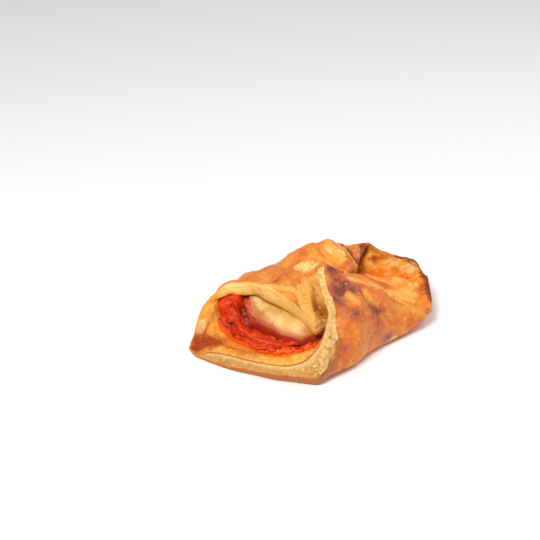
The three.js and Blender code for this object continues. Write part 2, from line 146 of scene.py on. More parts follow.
# %% [markdown]
# Noise, smoothing and marks on whole arrays
#
# Baked food is uneven at every size. Smooth random values on a lattice of cubes, added up at finer and
# finer sizes, give that unevenness anywhere in space, so a pattern has no seams. The opposite tool
# evens a grid out: each point moves towards the middle of its neighbours. Bells and strokes mark places.

# %% Noise, smoothing and marks
LATTICE = 32


def noise(points, size, seed):
    """Random values from -1 to 1 on a lattice of the given size, blended between a cell's corners with
    6t^5 - 15t^4 + 10t^3."""
    dimensions = points.shape[-1]
    table = np.random.default_rng(seed).uniform(-1, 1, (LATTICE,) * dimensions)
    scaled = points / size
    cell = np.floor(scaled).astype(int)
    t = scaled - cell
    t = t * t * t * (t * (6 * t - 15) + 10)
    value = np.zeros(points.shape[:-1])
    for corner in itertools.product((0, 1), repeat=dimensions):
        weight = np.prod(np.where(corner, t, 1 - t), axis=-1)
        value += weight * table[tuple(np.moveaxis((cell + corner) % LATTICE, -1, 0))]
    return value


def layered_noise(points, size, seed, octaves=3):
    """Noise of a size, plus half as much at half the size, and so on."""
    return sum(noise(points, size / 2 ** n, seed + n) / 2 ** n for n in range(octaves))


def soften_across(grid, span, passes):
    """Each point becomes half of itself and a quarter of the points so many places to both sides. Past an
    end the grid is continued by its own image, turned round the end, so that the ends stay."""
    for _ in range(passes):
        before = 2 * grid[:, :1] - grid[:, span:0:-1]
        after = 2 * grid[:, -1:] - grid[:, -2:-2 - span:-1]
        padded = np.concatenate([before, grid, after], 1)
        grid = 0.25 * padded[:, :-2 * span] + 0.5 * grid + 0.25 * padded[:, 2 * span:]
    return grid


def soften(grid, passes):
    """Each value becomes half of itself and a quarter of both neighbours, along and then across. The
    ends stay, because the grid is continued past them in a straight line."""
    for _ in range(passes):
        for axis in (0, 1):
            rows = np.moveaxis(grid, axis, 0)
            first = 2 * rows[:1] - rows[1:2]
            last = 2 * rows[-1:] - rows[-2:-1]
            padded = np.concatenate([first, rows, last])
            grid = np.moveaxis(0.25 * padded[:-2] + 0.5 * rows + 0.25 * padded[2:], 0, axis)
    return grid


def bell(points, centre, size):
    """exp(-d^2), with the distance d to the centre measured in sizes along each axis."""
    return np.exp(-(((points - np.array(centre)) / np.array(size)) ** 2).sum(-1))


def stroke(points, line, width):
    """exp(-(d/width)^2), with d the distance to the nearest of the line's segments."""
    nearest = np.full(points.shape[:-1], 1e9)
    for start, end in zip(np.array(line, float)[:-1], np.array(line, float)[1:]):
        leg = end - start
        t = np.clip(((points - start) @ leg) / (leg @ leg), 0, 1)
        nearest = np.minimum(nearest, np.linalg.norm(points - start - t[..., None] * leg, axis=-1))
    return np.exp(-(nearest / width) ** 2)


scattered = np.random.default_rng(0).uniform(0, 90, (999, 3))
print("noise spread:", round(float(noise(scattered, 7, 1).std()), 3))

# %% [markdown]
# The sheet's outline at every section
#
# A section across the basket is easiest to draw from the middle outwards: flat over the table, round the
# fold, up to a shoulder, and back over the roof of the flap. The corners of that outline are rounded
# by parabolas, which is a quadratic spline. Where the sheet ends is measured along the dough, so the
# straight edges of the square sheet come out as the cut edges of the two flaps.

# %% Stations of the sheet
LEFT_TIP, RIGHT_TIP = -69.0, 67.0  # where the sheet ends along the basket, in mm
FOLD_FOOT = 8.0  # half the width over which the fold rises from the table
OVERLAP = 56.0  # how far the outline goes on past the crest
SIDE_RISE = 0.55  # share of the shoulder's height at which the side is steepest
ROOF_PLACE = 0.45  # where the roof's height is given, as a share of the way out to the fold
ROOF_FROM = 45.0  # distance over the dough past which a point lies on the roof
RIPPLE = 0.45  # height of the soft wrinkles

centre_y = along([[LEFT_TIP, 16], [RIGHT_TIP, 1]])
lift = along([[LEFT_TIP, 0], [30, 0], [46, 4], [56, 8], [RIGHT_TIP, 12]])
dough = along([[LEFT_TIP, 1.9], [-55, 3.4], [-38, 4.6], [36, 4.6], [49, 3.2], [RIGHT_TIP, 2.6]])
print("thickness of the dough at both tips and in the middle:", dough([LEFT_TIP, RIGHT_TIP, 0]))

# %% Stations of both sides
# Each side has a sign, how far its shoulder leans in, how far the crest lies over the centre line, and how
# far the outline drops past it. Its curves: the place of the fold, how far its foot splays out, the heights
# of shoulder, roof and crest, the reach of the dough from the centre line to the cut edge, the share by
# which that edge puffs up, and how much thicker the far rim is.
NEAR = {
    "sign": -1, "lean": 5, "over": 22, "drop": -2,
    "fold_y": [[-69, -60], [-45, -54.5], [-28, -46.6], [-21, -42.8], [-13, -41.6], [-4, -40.2], [9, -34.3],
        [27, -29.8], [40, -27.8], [47, -26.6], [52, -25], [56, -25.2], [RIGHT_TIP, -28]],
    "splay": [[LEFT_TIP, 0], [RIGHT_TIP, 0]],
    "shoulder": [[-69, 20], [-20, 26], [0, 27], [15, 25], [27, 21.5], [40, 17.5], [53, 16],
        [RIGHT_TIP, 18]],
    "roof": [[-69, 30], [-20, 32.5], [0, 33.5], [15, 32.5], [27, 28], [40, 21.5], [53, 18],
        [RIGHT_TIP, 18]],
    "crest": [[-69, 35], [-20, 36], [8, 39], [20, 36.5], [27, 32], [40, 23], [53, 18.5], [RIGHT_TIP, 18]],
    "reach": [[LEFT_TIP, 5.5], [-64.5, 15], [-58.9, 24.8], [-50.4, 35.4], [-43.5, 44], [-38, 48.7],
        [-33, 52.7], [-27, 56.8], [-22, 59], [-18, 60.4], [-16, 61.7], [-14, 66], [-12, 73.5], [-10, 79.2],
        [-8, 83.4], [-6, 88], [-4, 93], [-2, 97], [1, 101.5], [4, 105.2], [6, 105.8], [8, 101.5],
        [10, 95.6], [14, 88.8], [20, 82.5], [26, 76], [30, 69.2], [33, 63.2], [37, 57], [41, 49.8],
        [46, 41.2], [50, 33.2], [54, 26], [58, 19.5], [62, 12], [65, 6], [RIGHT_TIP, 2]],
    "puff": [[LEFT_TIP, 0.3], [-45, 0.5], [-25, 0.55], [-12, 0.5], [0, 0.25], [30, 0.2],
        [RIGHT_TIP, 0.2]],
}
FAR = {
    "sign": 1, "lean": 3, "over": 12, "drop": 25,
    "fold_y": [[-69, 28], [-64, 28], [-56, 33], [-48, 37], [-40, 40.3], [-29, 41.5], [-11, 40.5], [1, 39.5],
        [12, 39], [27, 34], [41, 26], [46, 21.5], [54, 16], [60, 12.5], [RIGHT_TIP, 8]],
    "splay": [[LEFT_TIP, 2], [-60, 6], [-48, 8], [-36, 3], [-28, 0], [28, 0], [41, 6], [52, 8], [60, 6],
        [RIGHT_TIP, 2]],
    "shoulder": [[-69, 4], [-64, 9], [-56, 15], [-48, 19.5], [-40, 21], [-29, 23.5], [-18, 25.5],
        [-5, 28.5], [4, 32.8], [11, 36.2], [17, 36], [22, 33.6], [30, 33], [41, 30.5], [46, 25.8], [54, 24],
        [60, 23], [RIGHT_TIP, 19]],
    "roof": [[-69, 12], [-50, 22], [-40, 25], [-29, 27], [-5, 29.5], [12, 32], [22, 31.5], [28, 31],
        [41, 33], [RIGHT_TIP, 26]],
    "crest": [[-69, 12], [-50, 24], [-40, 27], [-29, 28], [-5, 28.5], [8, 26.6], [20, 25.7], [27, 25.5],
        [41, 31], [RIGHT_TIP, 26]],
    "reach": [[LEFT_TIP, 2], [-64, 10], [-61, 16.5], [-56, 27], [-48, 38.5], [-40, 48], [-38, 51],
        [-31, 63], [-27, 73], [-22.6, 84], [-20, 97], [-18, 108], [-16, 114], [0, 110], [12, 98],
        [22, 86.5], [28, 77], [30, 71.5], [35, 59.5], [41, 45.5], [46, 36.5], [51, 30], [55, 25.5],
        [59, 21], [62, 17.5], [64.5, 14], [66, 11], [RIGHT_TIP, 7]],
    "puff": [[LEFT_TIP, 0.2], [-50, 0.2], [-35, 0.3], [-18, 0.3], [25, 0.1], [RIGHT_TIP, 0.1]],
    "plump": [[LEFT_TIP, 0], [-62, 0], [-50, 0], [-40, 0.6], [-34, 2], [-28, 3], [-18, 2.5], [0, 0],
        [RIGHT_TIP, 0]],
}
NEAR, FAR = ({name: along(value) if isinstance(value, list) else value for name, value in side.items()}
             for side in (NEAR, FAR))
every_mm = np.arange(LEFT_TIP, RIGHT_TIP)
print("longest reach, near and far:", [float(side["reach"](every_mm).max()) for side in (NEAR, FAR)])

# %% The sheet as a grid of points
POCKET = {"place": (-3, -9), "size": (6, 15), "depth": 4}
PLEAT = {"from": 28, "steep": 2.4, "to": 41, "gentle": 5, "depth": 6, "back_from": 18, "back_to": 30}
SECTIONS = 250
FLAT_ROWS = 9
FOLDED_ROWS = 112
FLAT_SHARE = 0.42
FOLD_SHARE = 0.6
FOLD_LENGTH = 50.0
SAMPLES = 36
section_step = along([[LEFT_TIP, 1.6], [-60, 3.1], [-30, 3.1], [-18, 2.3], [0, 2.4], [8, 3], [22, 3],
                      [30, 2.4], [44, 2.8], [51, 1.3], [56, 1.3], [RIGHT_TIP, 2]])


def section_places(count):
    """Places along the basket whose spacing follows section_step: equal shares of the sum of 1/step."""
    fine = np.linspace(LEFT_TIP, RIGHT_TIP, 4000)
    total = np.cumsum(1 / section_step(fine))
    return np.interp(np.linspace(total[0], total[-1], count), total, fine)


def outline_corners(side, x):
    """Corners of a side's outline at each x, as (distance from the centre line, height)."""
    width = side["sign"] * (side["fold_y"](x) - centre_y(x))
    base = lift(x)
    shoulder = side["shoulder"](x)
    splay = np.minimum(side["splay"](x), 0.4 * width)
    corner = width - splay
    foot = np.minimum(2 * FOLD_FOOT, 0.8 * corner)
    lean = side["lean"] * (1 - np.minimum(1, splay / 3))
    zero = 0 * x
    out = [zero, corner - foot, corner, width - 0.4 * splay, width - lean, ROOF_PLACE * width,
           zero - side["over"], zero - side["over"] - OVERLAP]
    up = [base, base, base, base + SIDE_RISE * (shoulder - base), shoulder, side["roof"](x),
          side["crest"](x), side["crest"](x) - side["drop"]]
    return np.stack([np.stack(out, 1), np.stack(up, 1)], 2)


def rounded(corners):
    """The outline with its corners rounded: a line to the middle of the first leg, then a parabola from
    the middle of each leg to the middle of the next, pulled towards the corner between them."""
    middles = (corners[:, :-1] + corners[:, 1:]) / 2
    t = np.linspace(0, 1, SAMPLES)[None, :, None]
    pieces = [corners[:, :1] * (1 - t) + middles[:, :1] * t]
    for i in range(1, corners.shape[1] - 1):
        start, pull, end = middles[:, i - 1:i], corners[:, i:i + 1], middles[:, i:i + 1]
        pieces.append((start * (1 - t) ** 2 + 2 * pull * t * (1 - t) + end * t * t)[:, 1:])
    return np.concatenate(pieces, 1)


def at_distance(path, distance):
    """Points at given distances along each section's path. The sections are laid end to end with a large
    gap, so that one interpolation serves them all."""
    steps = np.linalg.norm(np.diff(path, axis=1), axis=2)
    length = np.concatenate([np.zeros((len(path), 1)), np.cumsum(steps, 1)], 1)
    gap = 1e4 * np.arange(len(path))[:, None]
    wanted = np.minimum(distance, length[:, -1:]) + gap
    flat = (length + gap).ravel()
    return np.stack([np.interp(wanted, flat, path[..., i].ravel()) for i in (0, 1)], 2)


def row_distances(reach):
    """Distances of the rows from the centre line: a few over the flat base, and the rest evenly up to
    the cut edge."""
    flat_end = FLAT_SHARE * np.minimum(FOLD_SHARE * reach, FOLD_LENGTH)[:, None]
    flat = flat_end * np.linspace(0, 1, FLAT_ROWS + 1)[None, :-1]
    folded = flat_end + (reach[:, None] - flat_end) * np.linspace(0, 1, FOLDED_ROWS + 1)[None]
    return np.concatenate([flat, folded], 1)


def large_relief(side, x, y, z, distance):
    """Height added to the folded sheet: two crossing wave trains as soft wrinkles, a bell-shaped pocket,
    and a pleat with a steep left and a gentle right side."""
    risen = step(z, lift(x) + 2, lift(x) + 12)
    on_roof = (distance > ROOF_FROM) & (side["sign"] > 0)
    covered = np.where(on_roof, step(y, -5, 12), 1)
    wrinkles = np.sin(0.5 * x + 0.04 * distance) + np.sin(0.27 * x - 0.11 * distance + 1)
    roof = on_roof * step(z, 18, 25)
    pocket = POCKET["depth"] * bell(np.stack([x, y], -1), POCKET["place"], POCKET["size"])
    fall = step(x, PLEAT["from"], PLEAT["from"] + PLEAT["steep"])
    rise = step(x, PLEAT["to"], PLEAT["to"] - PLEAT["gentle"])
    pleat = PLEAT["depth"] * fall * rise * step(y, PLEAT["back_to"], PLEAT["back_from"])
    return RIPPLE * risen * covered * wrinkles - roof * (pocket + pleat)


def folded_side(side, x):
    """Outer face of one side: points, distance from the centre line and distance from the cut edge."""
    distance = row_distances(side["reach"](x))
    placed = at_distance(rounded(outline_corners(side, x)), distance)
    grid_x = np.broadcast_to(x[:, None], distance.shape)
    y = centre_y(grid_x) + side["sign"] * placed[..., 0]
    z = placed[..., 1] + large_relief(side, grid_x, y, placed[..., 1], distance)
    return np.stack([grid_x, y, z], 2), distance, side["reach"](x)[:, None] - distance


def both_sides(far_values, near_values):
    """One grid from the far cut edge over the centre line to the near cut edge."""
    return np.concatenate([far_values[:, ::-1], near_values[:, 1:]], 1)


section_x = section_places(SECTIONS)
far_points, far_distance, far_from_edge = folded_side(FAR, section_x)
near_points, near_distance, near_from_edge = folded_side(NEAR, section_x)
sheet = both_sides(far_points, near_points)
reach_along = both_sides(far_distance, -near_distance)
from_edge = both_sides(far_from_edge, near_from_edge)
print("sheet grid:", sheet.shape, "from", sheet.min((0, 1)).round(1), "to", sheet.max((0, 1)).round(1))

# %% [markdown]
# From a surface to dough
#
# A baked sheet has a body: about 5 mm of fine layers, thinner at the tips, fuller at the cut edges where
# the layers could open. The inner face is found from the outer one by walking into the dough. A tight
# bend squeezes the layers, so the walk is shorter there, and the inner face doesn't fold over itself.
# Along the near edge the layers fan out, and their inner ends follow a line of their own. Dough also fills
# the tight folds beside the filling, and rolls up along the edges of the left mouth.

# %% Body of the sheet
PUFF_REACH = 7.0  # how far in from a cut edge the layers open
FAN_REACH = 13.0  # how far in from the near edge the layers fan out
THINNEST = 1.2
GRID_PASSES = 6  # softening of the sheet before the walk into the dough
BEND_SQUEEZE = 0.6  # share of a bend's radius that the dough may fill
FAR_FILL = 0.45  # share to which the fold behind the filling is evened out
ROLL_HEIGHT = 3.4
FAR_ROLL = 0.15  # share of that height which the far rim gets
EDGE_ROUND = 4.5
EDGE_LOSS = 0.12  # share of the thickness that the rounded edge loses inside
roll_width = along([[LEFT_TIP, 20], [-50, 22], [-36, 19], [-24, 15], [-10, 11], [RIGHT_TIP, 11]])


def into_dough(grid):
    """Unit normals that point into the dough: lengthways times across, both taken as differences."""
    return unit(np.cross(np.gradient(grid, axis=0), -np.gradient(grid, axis=1)))


def continued(rows, count):
    """The rows with the first and the last one repeated so many times at their ends."""
    return np.concatenate([rows[:1]] * count + [rows] + [rows[-1:]] * count)


def lowest_within(values, reach):
    """The smallest value within so many places, along and then across the grid."""
    for axis in (0, 1):
        rows = np.moveaxis(values, axis, 0)
        longer = continued(rows, reach)
        rows = np.minimum.reduce([longer[i:i + len(rows)] for i in range(2 * reach + 1)])
        values = np.moveaxis(rows, 0, axis)
    return values


def bend_limit(grid, normals):
    """BEND_SQUEEZE times the radius of the tightest bend: distance over the turn of the normal."""
    limit = np.full(grid.shape[:2], 99.0)
    for axis, span in ((0, 4), (1, 3)):
        points, turned = np.moveaxis(grid, axis, 0), np.moveaxis(normals, axis, 0)
        distance = np.linalg.norm(points[2 * span:] - points[:-2 * span], axis=-1)
        turn = np.linalg.norm(turned[2 * span:] - turned[:-2 * span], axis=-1)
        radius = BEND_SQUEEZE * distance / np.maximum(turn, 1e-3)
        limit = np.minimum(limit, np.moveaxis(continued(radius, span), 0, axis))
    return limit


print("a flat grid's normal:", into_dough(np.stack(np.meshgrid([0, 1], [0, 1], [0]), -1)[..., 0, :])[0, 0])

# %% Thickness and inner face
# where the layers of the near edge end on the inside: the section, and the place x, y, z
INNER_EDGE = [[-69, -69, 14, 2.5], [-64, -64, 5.5, 4.5], [-57, -56.8, -4, 5], [-50, -50.5, -14.5, 6],
              [-45, -44.9, -22.5, 6.8], [-40, -39.5, -28.9, 7.5], [-36, -35.6, -31.8, 8.3],
              [-33, -32.6, -33, 9], [-30, -29.9, -33.3, 9.8], [-27, -27, -32.7, 10.6],
              [-24, -24.2, -31.9, 12], [-20, -21.4, -31.1, 14.2], [-16, -18.8, -30.1, 17],
              [-14, -17, -29, 20], [-12, -15, -27.4, 22.5], [-10, -13, -25.9, 24.3], [-8, -11, -24, 26],
              [-5, -7, -17.7, 28], [67, 66, -17.7, 28]]
RAGGED_RIM = np.array([-5.4, 0.6, -1.8])  # from the outer to the inner edge beside the near flap's tip
grid_x = sheet[..., 0]
is_near = reach_along < 0
is_far = ~is_near
puff = np.where(is_near, NEAR["puff"](grid_x), FAR["puff"](grid_x))
smooth_sheet = soften(sheet, GRID_PASSES)
walk = into_dough(smooth_sheet)
opened = dough(grid_x) * (1 + puff * np.exp(-(from_edge / PUFF_REACH) ** 2))
opened = opened + is_far * FAR["plump"](grid_x) * step(from_edge, 20, 8)
thickness = np.minimum(opened, lowest_within(bend_limit(smooth_sheet, walk), 4))
thickness = np.maximum(THINNEST, soften(thickness, 10))
inside = smooth_sheet + walk * thickness[..., None]
print("dough thickness:", thickness.min().round(2), "to", thickness.max().round(2), "mm")

# %% Fanned layers, fills and rolls
inner_edge = np.stack([along(np.array(INNER_EDGE)[:, [0, i]])(section_x) for i in (1, 2, 3)], 1)
beside_tip = step(section_x, -9, -4)[:, None]
inner_edge = inner_edge + beside_tip * (smooth_sheet[:, -1] + RAGGED_RIM - inner_edge)
fanned = step(section_x, -69, -63) * step(section_x, 9, 4)
fan = (inner_edge - inside[:, -1]) * fanned[:, None]
inside = inside + fan[:, None] * (is_near * np.exp(-(from_edge / FAN_REACH) ** 2))[..., None]

near_fill = is_near * step(grid_x, -40, -24) * step(grid_x, 2, -6) * step(from_edge, 40, 24)
far_fill = FAR_FILL * is_far * step(grid_x, -41, -50)
filled = soften_across(soften_across(inside, 8, 24), 2, 8)
inside = inside + np.maximum(near_fill, far_fill)[..., None] * (filled - inside)

rolls = is_near * step(grid_x, -4, -12) + FAR_ROLL * is_far * step(grid_x, -42, -52)
across_roll = np.clip(from_edge / roll_width(grid_x), 0, 1)
roll_height = ROLL_HEIGHT * np.sqrt(np.sin(np.pi * across_roll)) * step(grid_x, -68, -60)
inside = inside + into_dough(soften(inside, 4)) * (rolls * roll_height)[..., None]
inside = soften(inside, 2)
edge_round = 1 - np.sqrt(1 - (1 - np.clip(from_edge / EDGE_ROUND, 0, 1)) ** 2)
inside = inside - walk * (EDGE_LOSS * thickness * edge_round)[..., None]
print("tallest roll:", (rolls * roll_height).max().round(2), "mm")

# %% [markdown]
# The baked skin
#
# In the oven the skin blisters, the flaps wrinkle along the way they were folded, and the hollow beside the
# near flap keeps the long fibres of torn layers. All of this is height along the outward normal. Last, the
# lower near edge turns up a little, so that a strip of skin shows under its cut layers.

# %% Relief of the skin
CREASES = [
    # line over the crust, width, height: folds of the near flap, then of the far flap
    ([(7, -3, 33), (13, -8, 31), (15.7, -15.1, 29), (19.7, -20.3, 26), (27, -22, 21)], 1.8, 1.0),
    ([(7, -11.6, 32), (9.5, -18.8, 31), (12.9, -19, 29), (18, -24, 24)], 1.5, -1.1),
    ([(3.5, -12, 32), (0, -17, 31), (-4.7, -22.2, 31)], 2, -0.6),
    ([(20, -6, 30), (26.5, -10.7, 27), (35, -15.2, 22), (42.2, -20.8, 16), (48.6, -23, 11)], 1.3, 1.2),
    ([(18, -8, 30), (22.7, -11.8, 28), (29.9, -18.2, 22), (37.7, -22.7, 17)], 1.3, -1.1),
    ([(18, -14, 29), (26, -20, 23), (34, -24.5, 16)], 1.6, 0.8),
    ([(25.3, 26.6, 32.7), (27, 21, 31), (27.7, 14.9, 29.6), (27, 11.8, 28.2)], 1.8, -2.8),
    ([(20.3, 29.8, 33), (19.3, 21.8, 33), (20.2, 14, 31.5), (21.5, 7.4, 29)], 3, 2.0),
    ([(8, 23, 32), (11.5, 17, 31), (12.9, 12.8, 30), (14, 8, 28)], 1.3, -1.0),
    ([(14, 26, 33), (15, 18, 31), (17, 11, 29)], 1.2, -0.7),
    ([(-30, 30, 26), (-15, 27, 28), (0, 26, 29)], 2.2, -0.6),
    ([(-24, 12, 27), (-14, 16, 29), (-3, 20, 30)], 2, 0.7),
    ([(-10.5, 8.3, 28), (-15.7, 1.7, 27), (-17, -5.2, 25), (-17.5, -11.3, 23)], 1.1, -0.8),
]
print("creases:", len(CREASES))

# %% Torn layers, blisters and wrinkles
torn_left = along([[-20, -18], [-12, -18.3], [-8, -17.8], [-3, -16], [3, -14], [6, -12.5], [40, -12.5]])
torn_line = along([[-20, 3], [-13.7, 4.5], [-11.5, 5.6], [-4.7, 9], [0, 10.3], [5, 10.1], [20, 4]])
raised = step(sheet[..., 2], lift(grid_x) + 1, lift(grid_x) + 8)
flat_map = np.stack([grid_x, reach_along], 2)
on_far_roof = step(reach_along, 46, 54)
ragged = 0.9 * noise(flat_map, 2.2, 19) + 0.5 * noise(flat_map, 0.9, 20)
torn = step(grid_x - torn_left(sheet[..., 1]) + ragged, -0.7, 0.7)
torn = torn * step(torn_line(grid_x) - sheet[..., 1] + ragged, -0.6, 0.6) * on_far_roof
hollow = bell(sheet[..., :2], (-6, -13), (5.5, 9)) * on_far_roof * torn
wide_blisters = (0.3 + 0.7 * step(grid_x, -45, -25)) * 0.8 * noise(sheet, 11, 11)
blisters = wide_blisters + 0.45 * noise(sheet, 5, 13) + 0.15 * layered_noise(sheet, 2.5, 12)
wrinkles = 0.3 * noise(flat_map / [2.2, 17], 1, 14) + 0.12 * noise(flat_map / [0.9, 8], 1, 15)
fibres = 0.3 * noise(flat_map / [1.1, 12], 1, 16) + 0.22 * noise(flat_map / [0.7, 6], 1, 17)
edge_lift = 0.25 * noise(flat_map / [3, 2], 1, 18) * np.exp(-from_edge / 3)
edge_groove = -0.8 * np.exp(-((from_edge - 4.6) / 1.3) ** 2) * is_near * step(grid_x, 18, 28)
creased = edge_groove + sum(height * stroke(sheet, line, width) for line, width, height in CREASES)
soft_ridge = 1.1 * stroke(sheet[..., :2], [(-6, 2), (-9, -4), (-13, -11), (-14.5, -17)], 1.8)
torn_relief = 0.35 * fibres + soft_ridge - 0.5 - 1.6 * hollow
skin = blisters * (1 - 0.6 * torn) + wrinkles * (1 - 0.7 * torn) * np.where(is_near, 0.4, 1)
skin = raised * (skin + torn * torn_relief + edge_lift + creased)
print("skin relief:", skin.min().round(2), "to", skin.max().round(2), "mm")

# %% Outer face with its turned-up edge
TURN_ANGLE = 1.25  # of the near edge where it turns up, in radians
turned_width = along([[LEFT_TIP, 0.1], [-64.5, 1], [-58.9, 2], [-50.4, 3.2], [-43.5, 4.4], [-38, 5.2],
                      [-33, 5.2], [-27, 4], [-21, 2], [-14, 0], [RIGHT_TIP, 0]])
outside = sheet - into_dough(sheet) * (skin - 0.2 * thickness * edge_round)[..., None]
outside[..., 2] = np.maximum(outside[..., 2], np.minimum(sheet[..., 2], 0.02))
turned_up = is_near * turned_width(grid_x)
turn = TURN_ANGLE * np.clip(1 - from_edge / np.maximum(turned_up, 0.01), 0, 1)
radius = turned_up / TURN_ANGLE
outside[..., 1] += radius * (turn - np.sin(turn))
outside[..., 2] += radius * (1 - np.cos(turn))
print("the near edge turns up by", (radius * (1 - np.cos(turn))).max().round(2), "mm")

# %% [markdown]
# Cut edges that show their layers
#
# Puff pastry is dozens of sheets of dough with butter between them. At a cut edge they open like the pages
# of a wet book. Each page stands out by its own amount, which changes along the edge. With both cut faces
# the outer and the inner face close into one ring. The rims of the far flap and the inner lip of the near
# edge baked into soft rolls, so there the ring is evened out.

# %% Cut edges
CUT_LAYERS = 5
CUT_ROWS = 22
WANDER_LENGTH, PAGE_LENGTH, FINE_LENGTH = 9, 2.6, 0.8  # mm along the edge over which the pages change


def edge_length(points):
    """Length run so far along a line, in mm."""
    return np.concatenate([[0], np.cumsum(np.linalg.norm(np.diff(points, axis=0), axis=1))])


def cut_face(edge, behind, roundness, seed):
    """Rows between the outer and the inner edge in one column of the grids, facing away from the column
    behind it, and each point's place in the stack. A layer bulges by |sin| of that place times its own
    noise along the edge, and the whole face swells as half an ellipse."""
    edge_out, edge_in = outside[:, edge], inside[:, edge]
    t = np.linspace(0, 1, CUT_ROWS + 2)[1:-1][None, :, None]
    flat = edge_out[:, None] * (1 - t) + edge_in[:, None] * t
    way_out = unit(edge_out - outside[:, behind])[:, None]
    stack = np.broadcast_to(t[..., 0], flat.shape[:2])
    place = np.broadcast_to(edge_length(sheet[:, edge])[:, None], flat.shape[:2])
    wander = 1.5 * noise(np.stack([place / WANDER_LENGTH, stack * 2], 2), 1, seed)
    phase = CUT_LAYERS * stack + wander * np.sin(np.pi * stack)
    own = noise(np.stack([place / PAGE_LENGTH, np.floor(phase) * 7.3], 2), 1, seed + 1)
    fine = noise(np.stack([place / FINE_LENGTH, stack * 9], 2), 1, seed + 2)
    bulge = np.abs(np.sin(np.pi * phase)) ** 0.7 * (0.3 + 0.8 * own + 0.4 * fine)
    swell = roundness * np.sqrt(np.clip(4 * stack * (1 - stack), 0, 1))
    depth = np.minimum(np.linalg.norm(edge_in - edge_out, axis=-1), 7)[:, None] / 5
    return flat + way_out * (depth * (0.6 * bulge - 0.2 + swell))[..., None], stack


near_cut, near_stack = cut_face(-1, -3, 0.6, 31)
far_cut, far_stack = (grid[:, ::-1] for grid in cut_face(0, 2, 1.8, 41))
print("cut faces:", near_cut.shape, far_cut.shape)

# %% The closed ring
INNER_ROWS = 96
INNER_WARP = 0.08  # how much denser the rows of the inner face are at both edges
ROLL_PASSES, SWELL_SPAN, SWELL_PASSES, LAST_PASSES = 45, 4, 30, 20
warp = np.linspace(0, 1, INNER_ROWS)
warp = (sheet.shape[1] - 1) * (warp - INNER_WARP * np.sin(2 * np.pi * warp))
inner_rows = np.unique(np.round(warp).astype(int))[::-1]
inner_skin = 0.25 * layered_noise(inside[:, inner_rows], 3, 51)
inner_skin = inner_skin + 0.2 * noise(flat_map[:, inner_rows], 1.6, 52)
inner_face = inside[:, inner_rows] + walk[:, inner_rows] * inner_skin[..., None]
ring = np.concatenate([outside, near_cut, inner_face, far_cut], 1)


def around_ring(outer, near, inner, far):
    """One value grid for the ring from the values of its four parts, each a grid or one number."""
    parts = zip((outer, near, inner, far), (outside, near_cut, inner_face, far_cut))
    return np.concatenate([np.broadcast_to(values, part.shape[:2]) for values, part in parts], 1)


def rolled(ring, passes, span=1):
    """Each point becomes half of itself and a quarter of the points so many places round the ring."""
    for _ in range(passes):
        ring = 0.25 * np.roll(ring, span, 1) + 0.5 * ring + 0.25 * np.roll(ring, -span, 1)
    return ring


inner_from_edge, inner_near, inner_far = (grid[:, inner_rows] for grid in (from_edge, is_near, is_far))
inner_roll = step(inner_from_edge, 16, 8) * inner_far + step(inner_from_edge, 7, 2) * inner_near
roll = around_ring(0.8 * np.exp(-from_edge / 2) * is_far, step(near_stack, 0.75, 1), inner_roll, 1)
roll = roll * step(ring[..., 0], 8, -2)
ring = ring + roll[..., None] * (rolled(ring, ROLL_PASSES) - ring)
inner_swell = step(inner_from_edge, 14, 4) * inner_far
swollen = around_ring(step(from_edge, 12, 3) * is_far, 0, inner_swell, 1)
swollen = swollen * step(ring[..., 0], -40, -50)
evened = rolled(rolled(ring, SWELL_PASSES, SWELL_SPAN), LAST_PASSES)
ring = ring + swollen[..., None] * (evened - ring)
print("ring grid:", ring.shape, "triangles:", 2 * ring.shape[0] * ring.shape[1])

# %% [markdown]
# Making a piece
#
# Every piece is a closed mesh at its true place, in metres. A grid that closes in one direction is a tube,
# and its two ends are closed by a fan of triangles round their middle.

# %% Meshes


def tube_faces(sections, around):
    """Quads between neighbouring points of a closed grid, and the triangles of both end fans."""
    s, k = np.meshgrid(np.arange(sections - 1), np.arange(around), indexing="ij")
    after = (k + 1) % around
    here, there = s * around, (s + 1) * around
    quads = np.stack([here + k, there + k, there + after, here + after], -1)
    k = np.arange(around)
    first, last = sections * around, sections * around + 1
    start = np.stack([k, (k + 1) % around, np.full(around, first)], 1)
    end_ring = (sections - 1) * around
    end = np.stack([end_ring + (k + 1) % around, end_ring + k, np.full(around, last)], 1)
    return quads.reshape(-1, 4), np.concatenate([start, end])


def make_piece(name, points, faces, material, masks, replaced=None):
    """A mesh from points in design mm and lists of faces, smooth, with its masks as attributes, riding on
    the root body."""
    mesh = bpy.data.meshes.new(name)
    mesh.from_pydata((points + CENTRING) * MM, [], list(itertools.chain(*(f.tolist() for f in faces))))
    mesh.shade_smooth()
    for mask_name, values in masks.items():
        attribute = mesh.attributes.new(mask_name, "FLOAT", "POINT")
        attribute.data.foreach_set("value", np.clip(values, -1, 1))
    mesh.materials.append(material)
    piece = bpy.data.objects.new(name, mesh)
    bpy.context.collection.objects.link(piece)
    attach(piece, "root")
    if replaced:
        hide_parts(replaced)
    print(name, "points", len(points), "triangles", sum(len(f) * (f.shape[1] - 2) for f in faces))


def with_middles(grid):
    """The grid's points as a list, followed by the middle of the first and of the last ring."""
    return np.concatenate([grid.reshape(-1, 3), grid[:1].mean(1), grid[-1:].mean(1)])


def with_end_values(values):
    """The grid's values as a list, followed by the mean of the first and of the last ring."""
    return np.concatenate([values.ravel(), values[:1].mean(1), values[-1:].mean(1)])


def make_tube(name, ring, material, masks, replaced):
    """One closed grid as a piece. Each mask is a grid, or a list with one value for each point."""
    masks = {key: values if values.ndim == 1 else with_end_values(values) for key, values in masks.items()}
    make_piece(name, with_middles(ring), tube_faces(*ring.shape[:2]), material, masks, replaced)


print("faces of a tube of 3 rings of 4 points:", [len(faces) for faces in tube_faces(3, 4)])

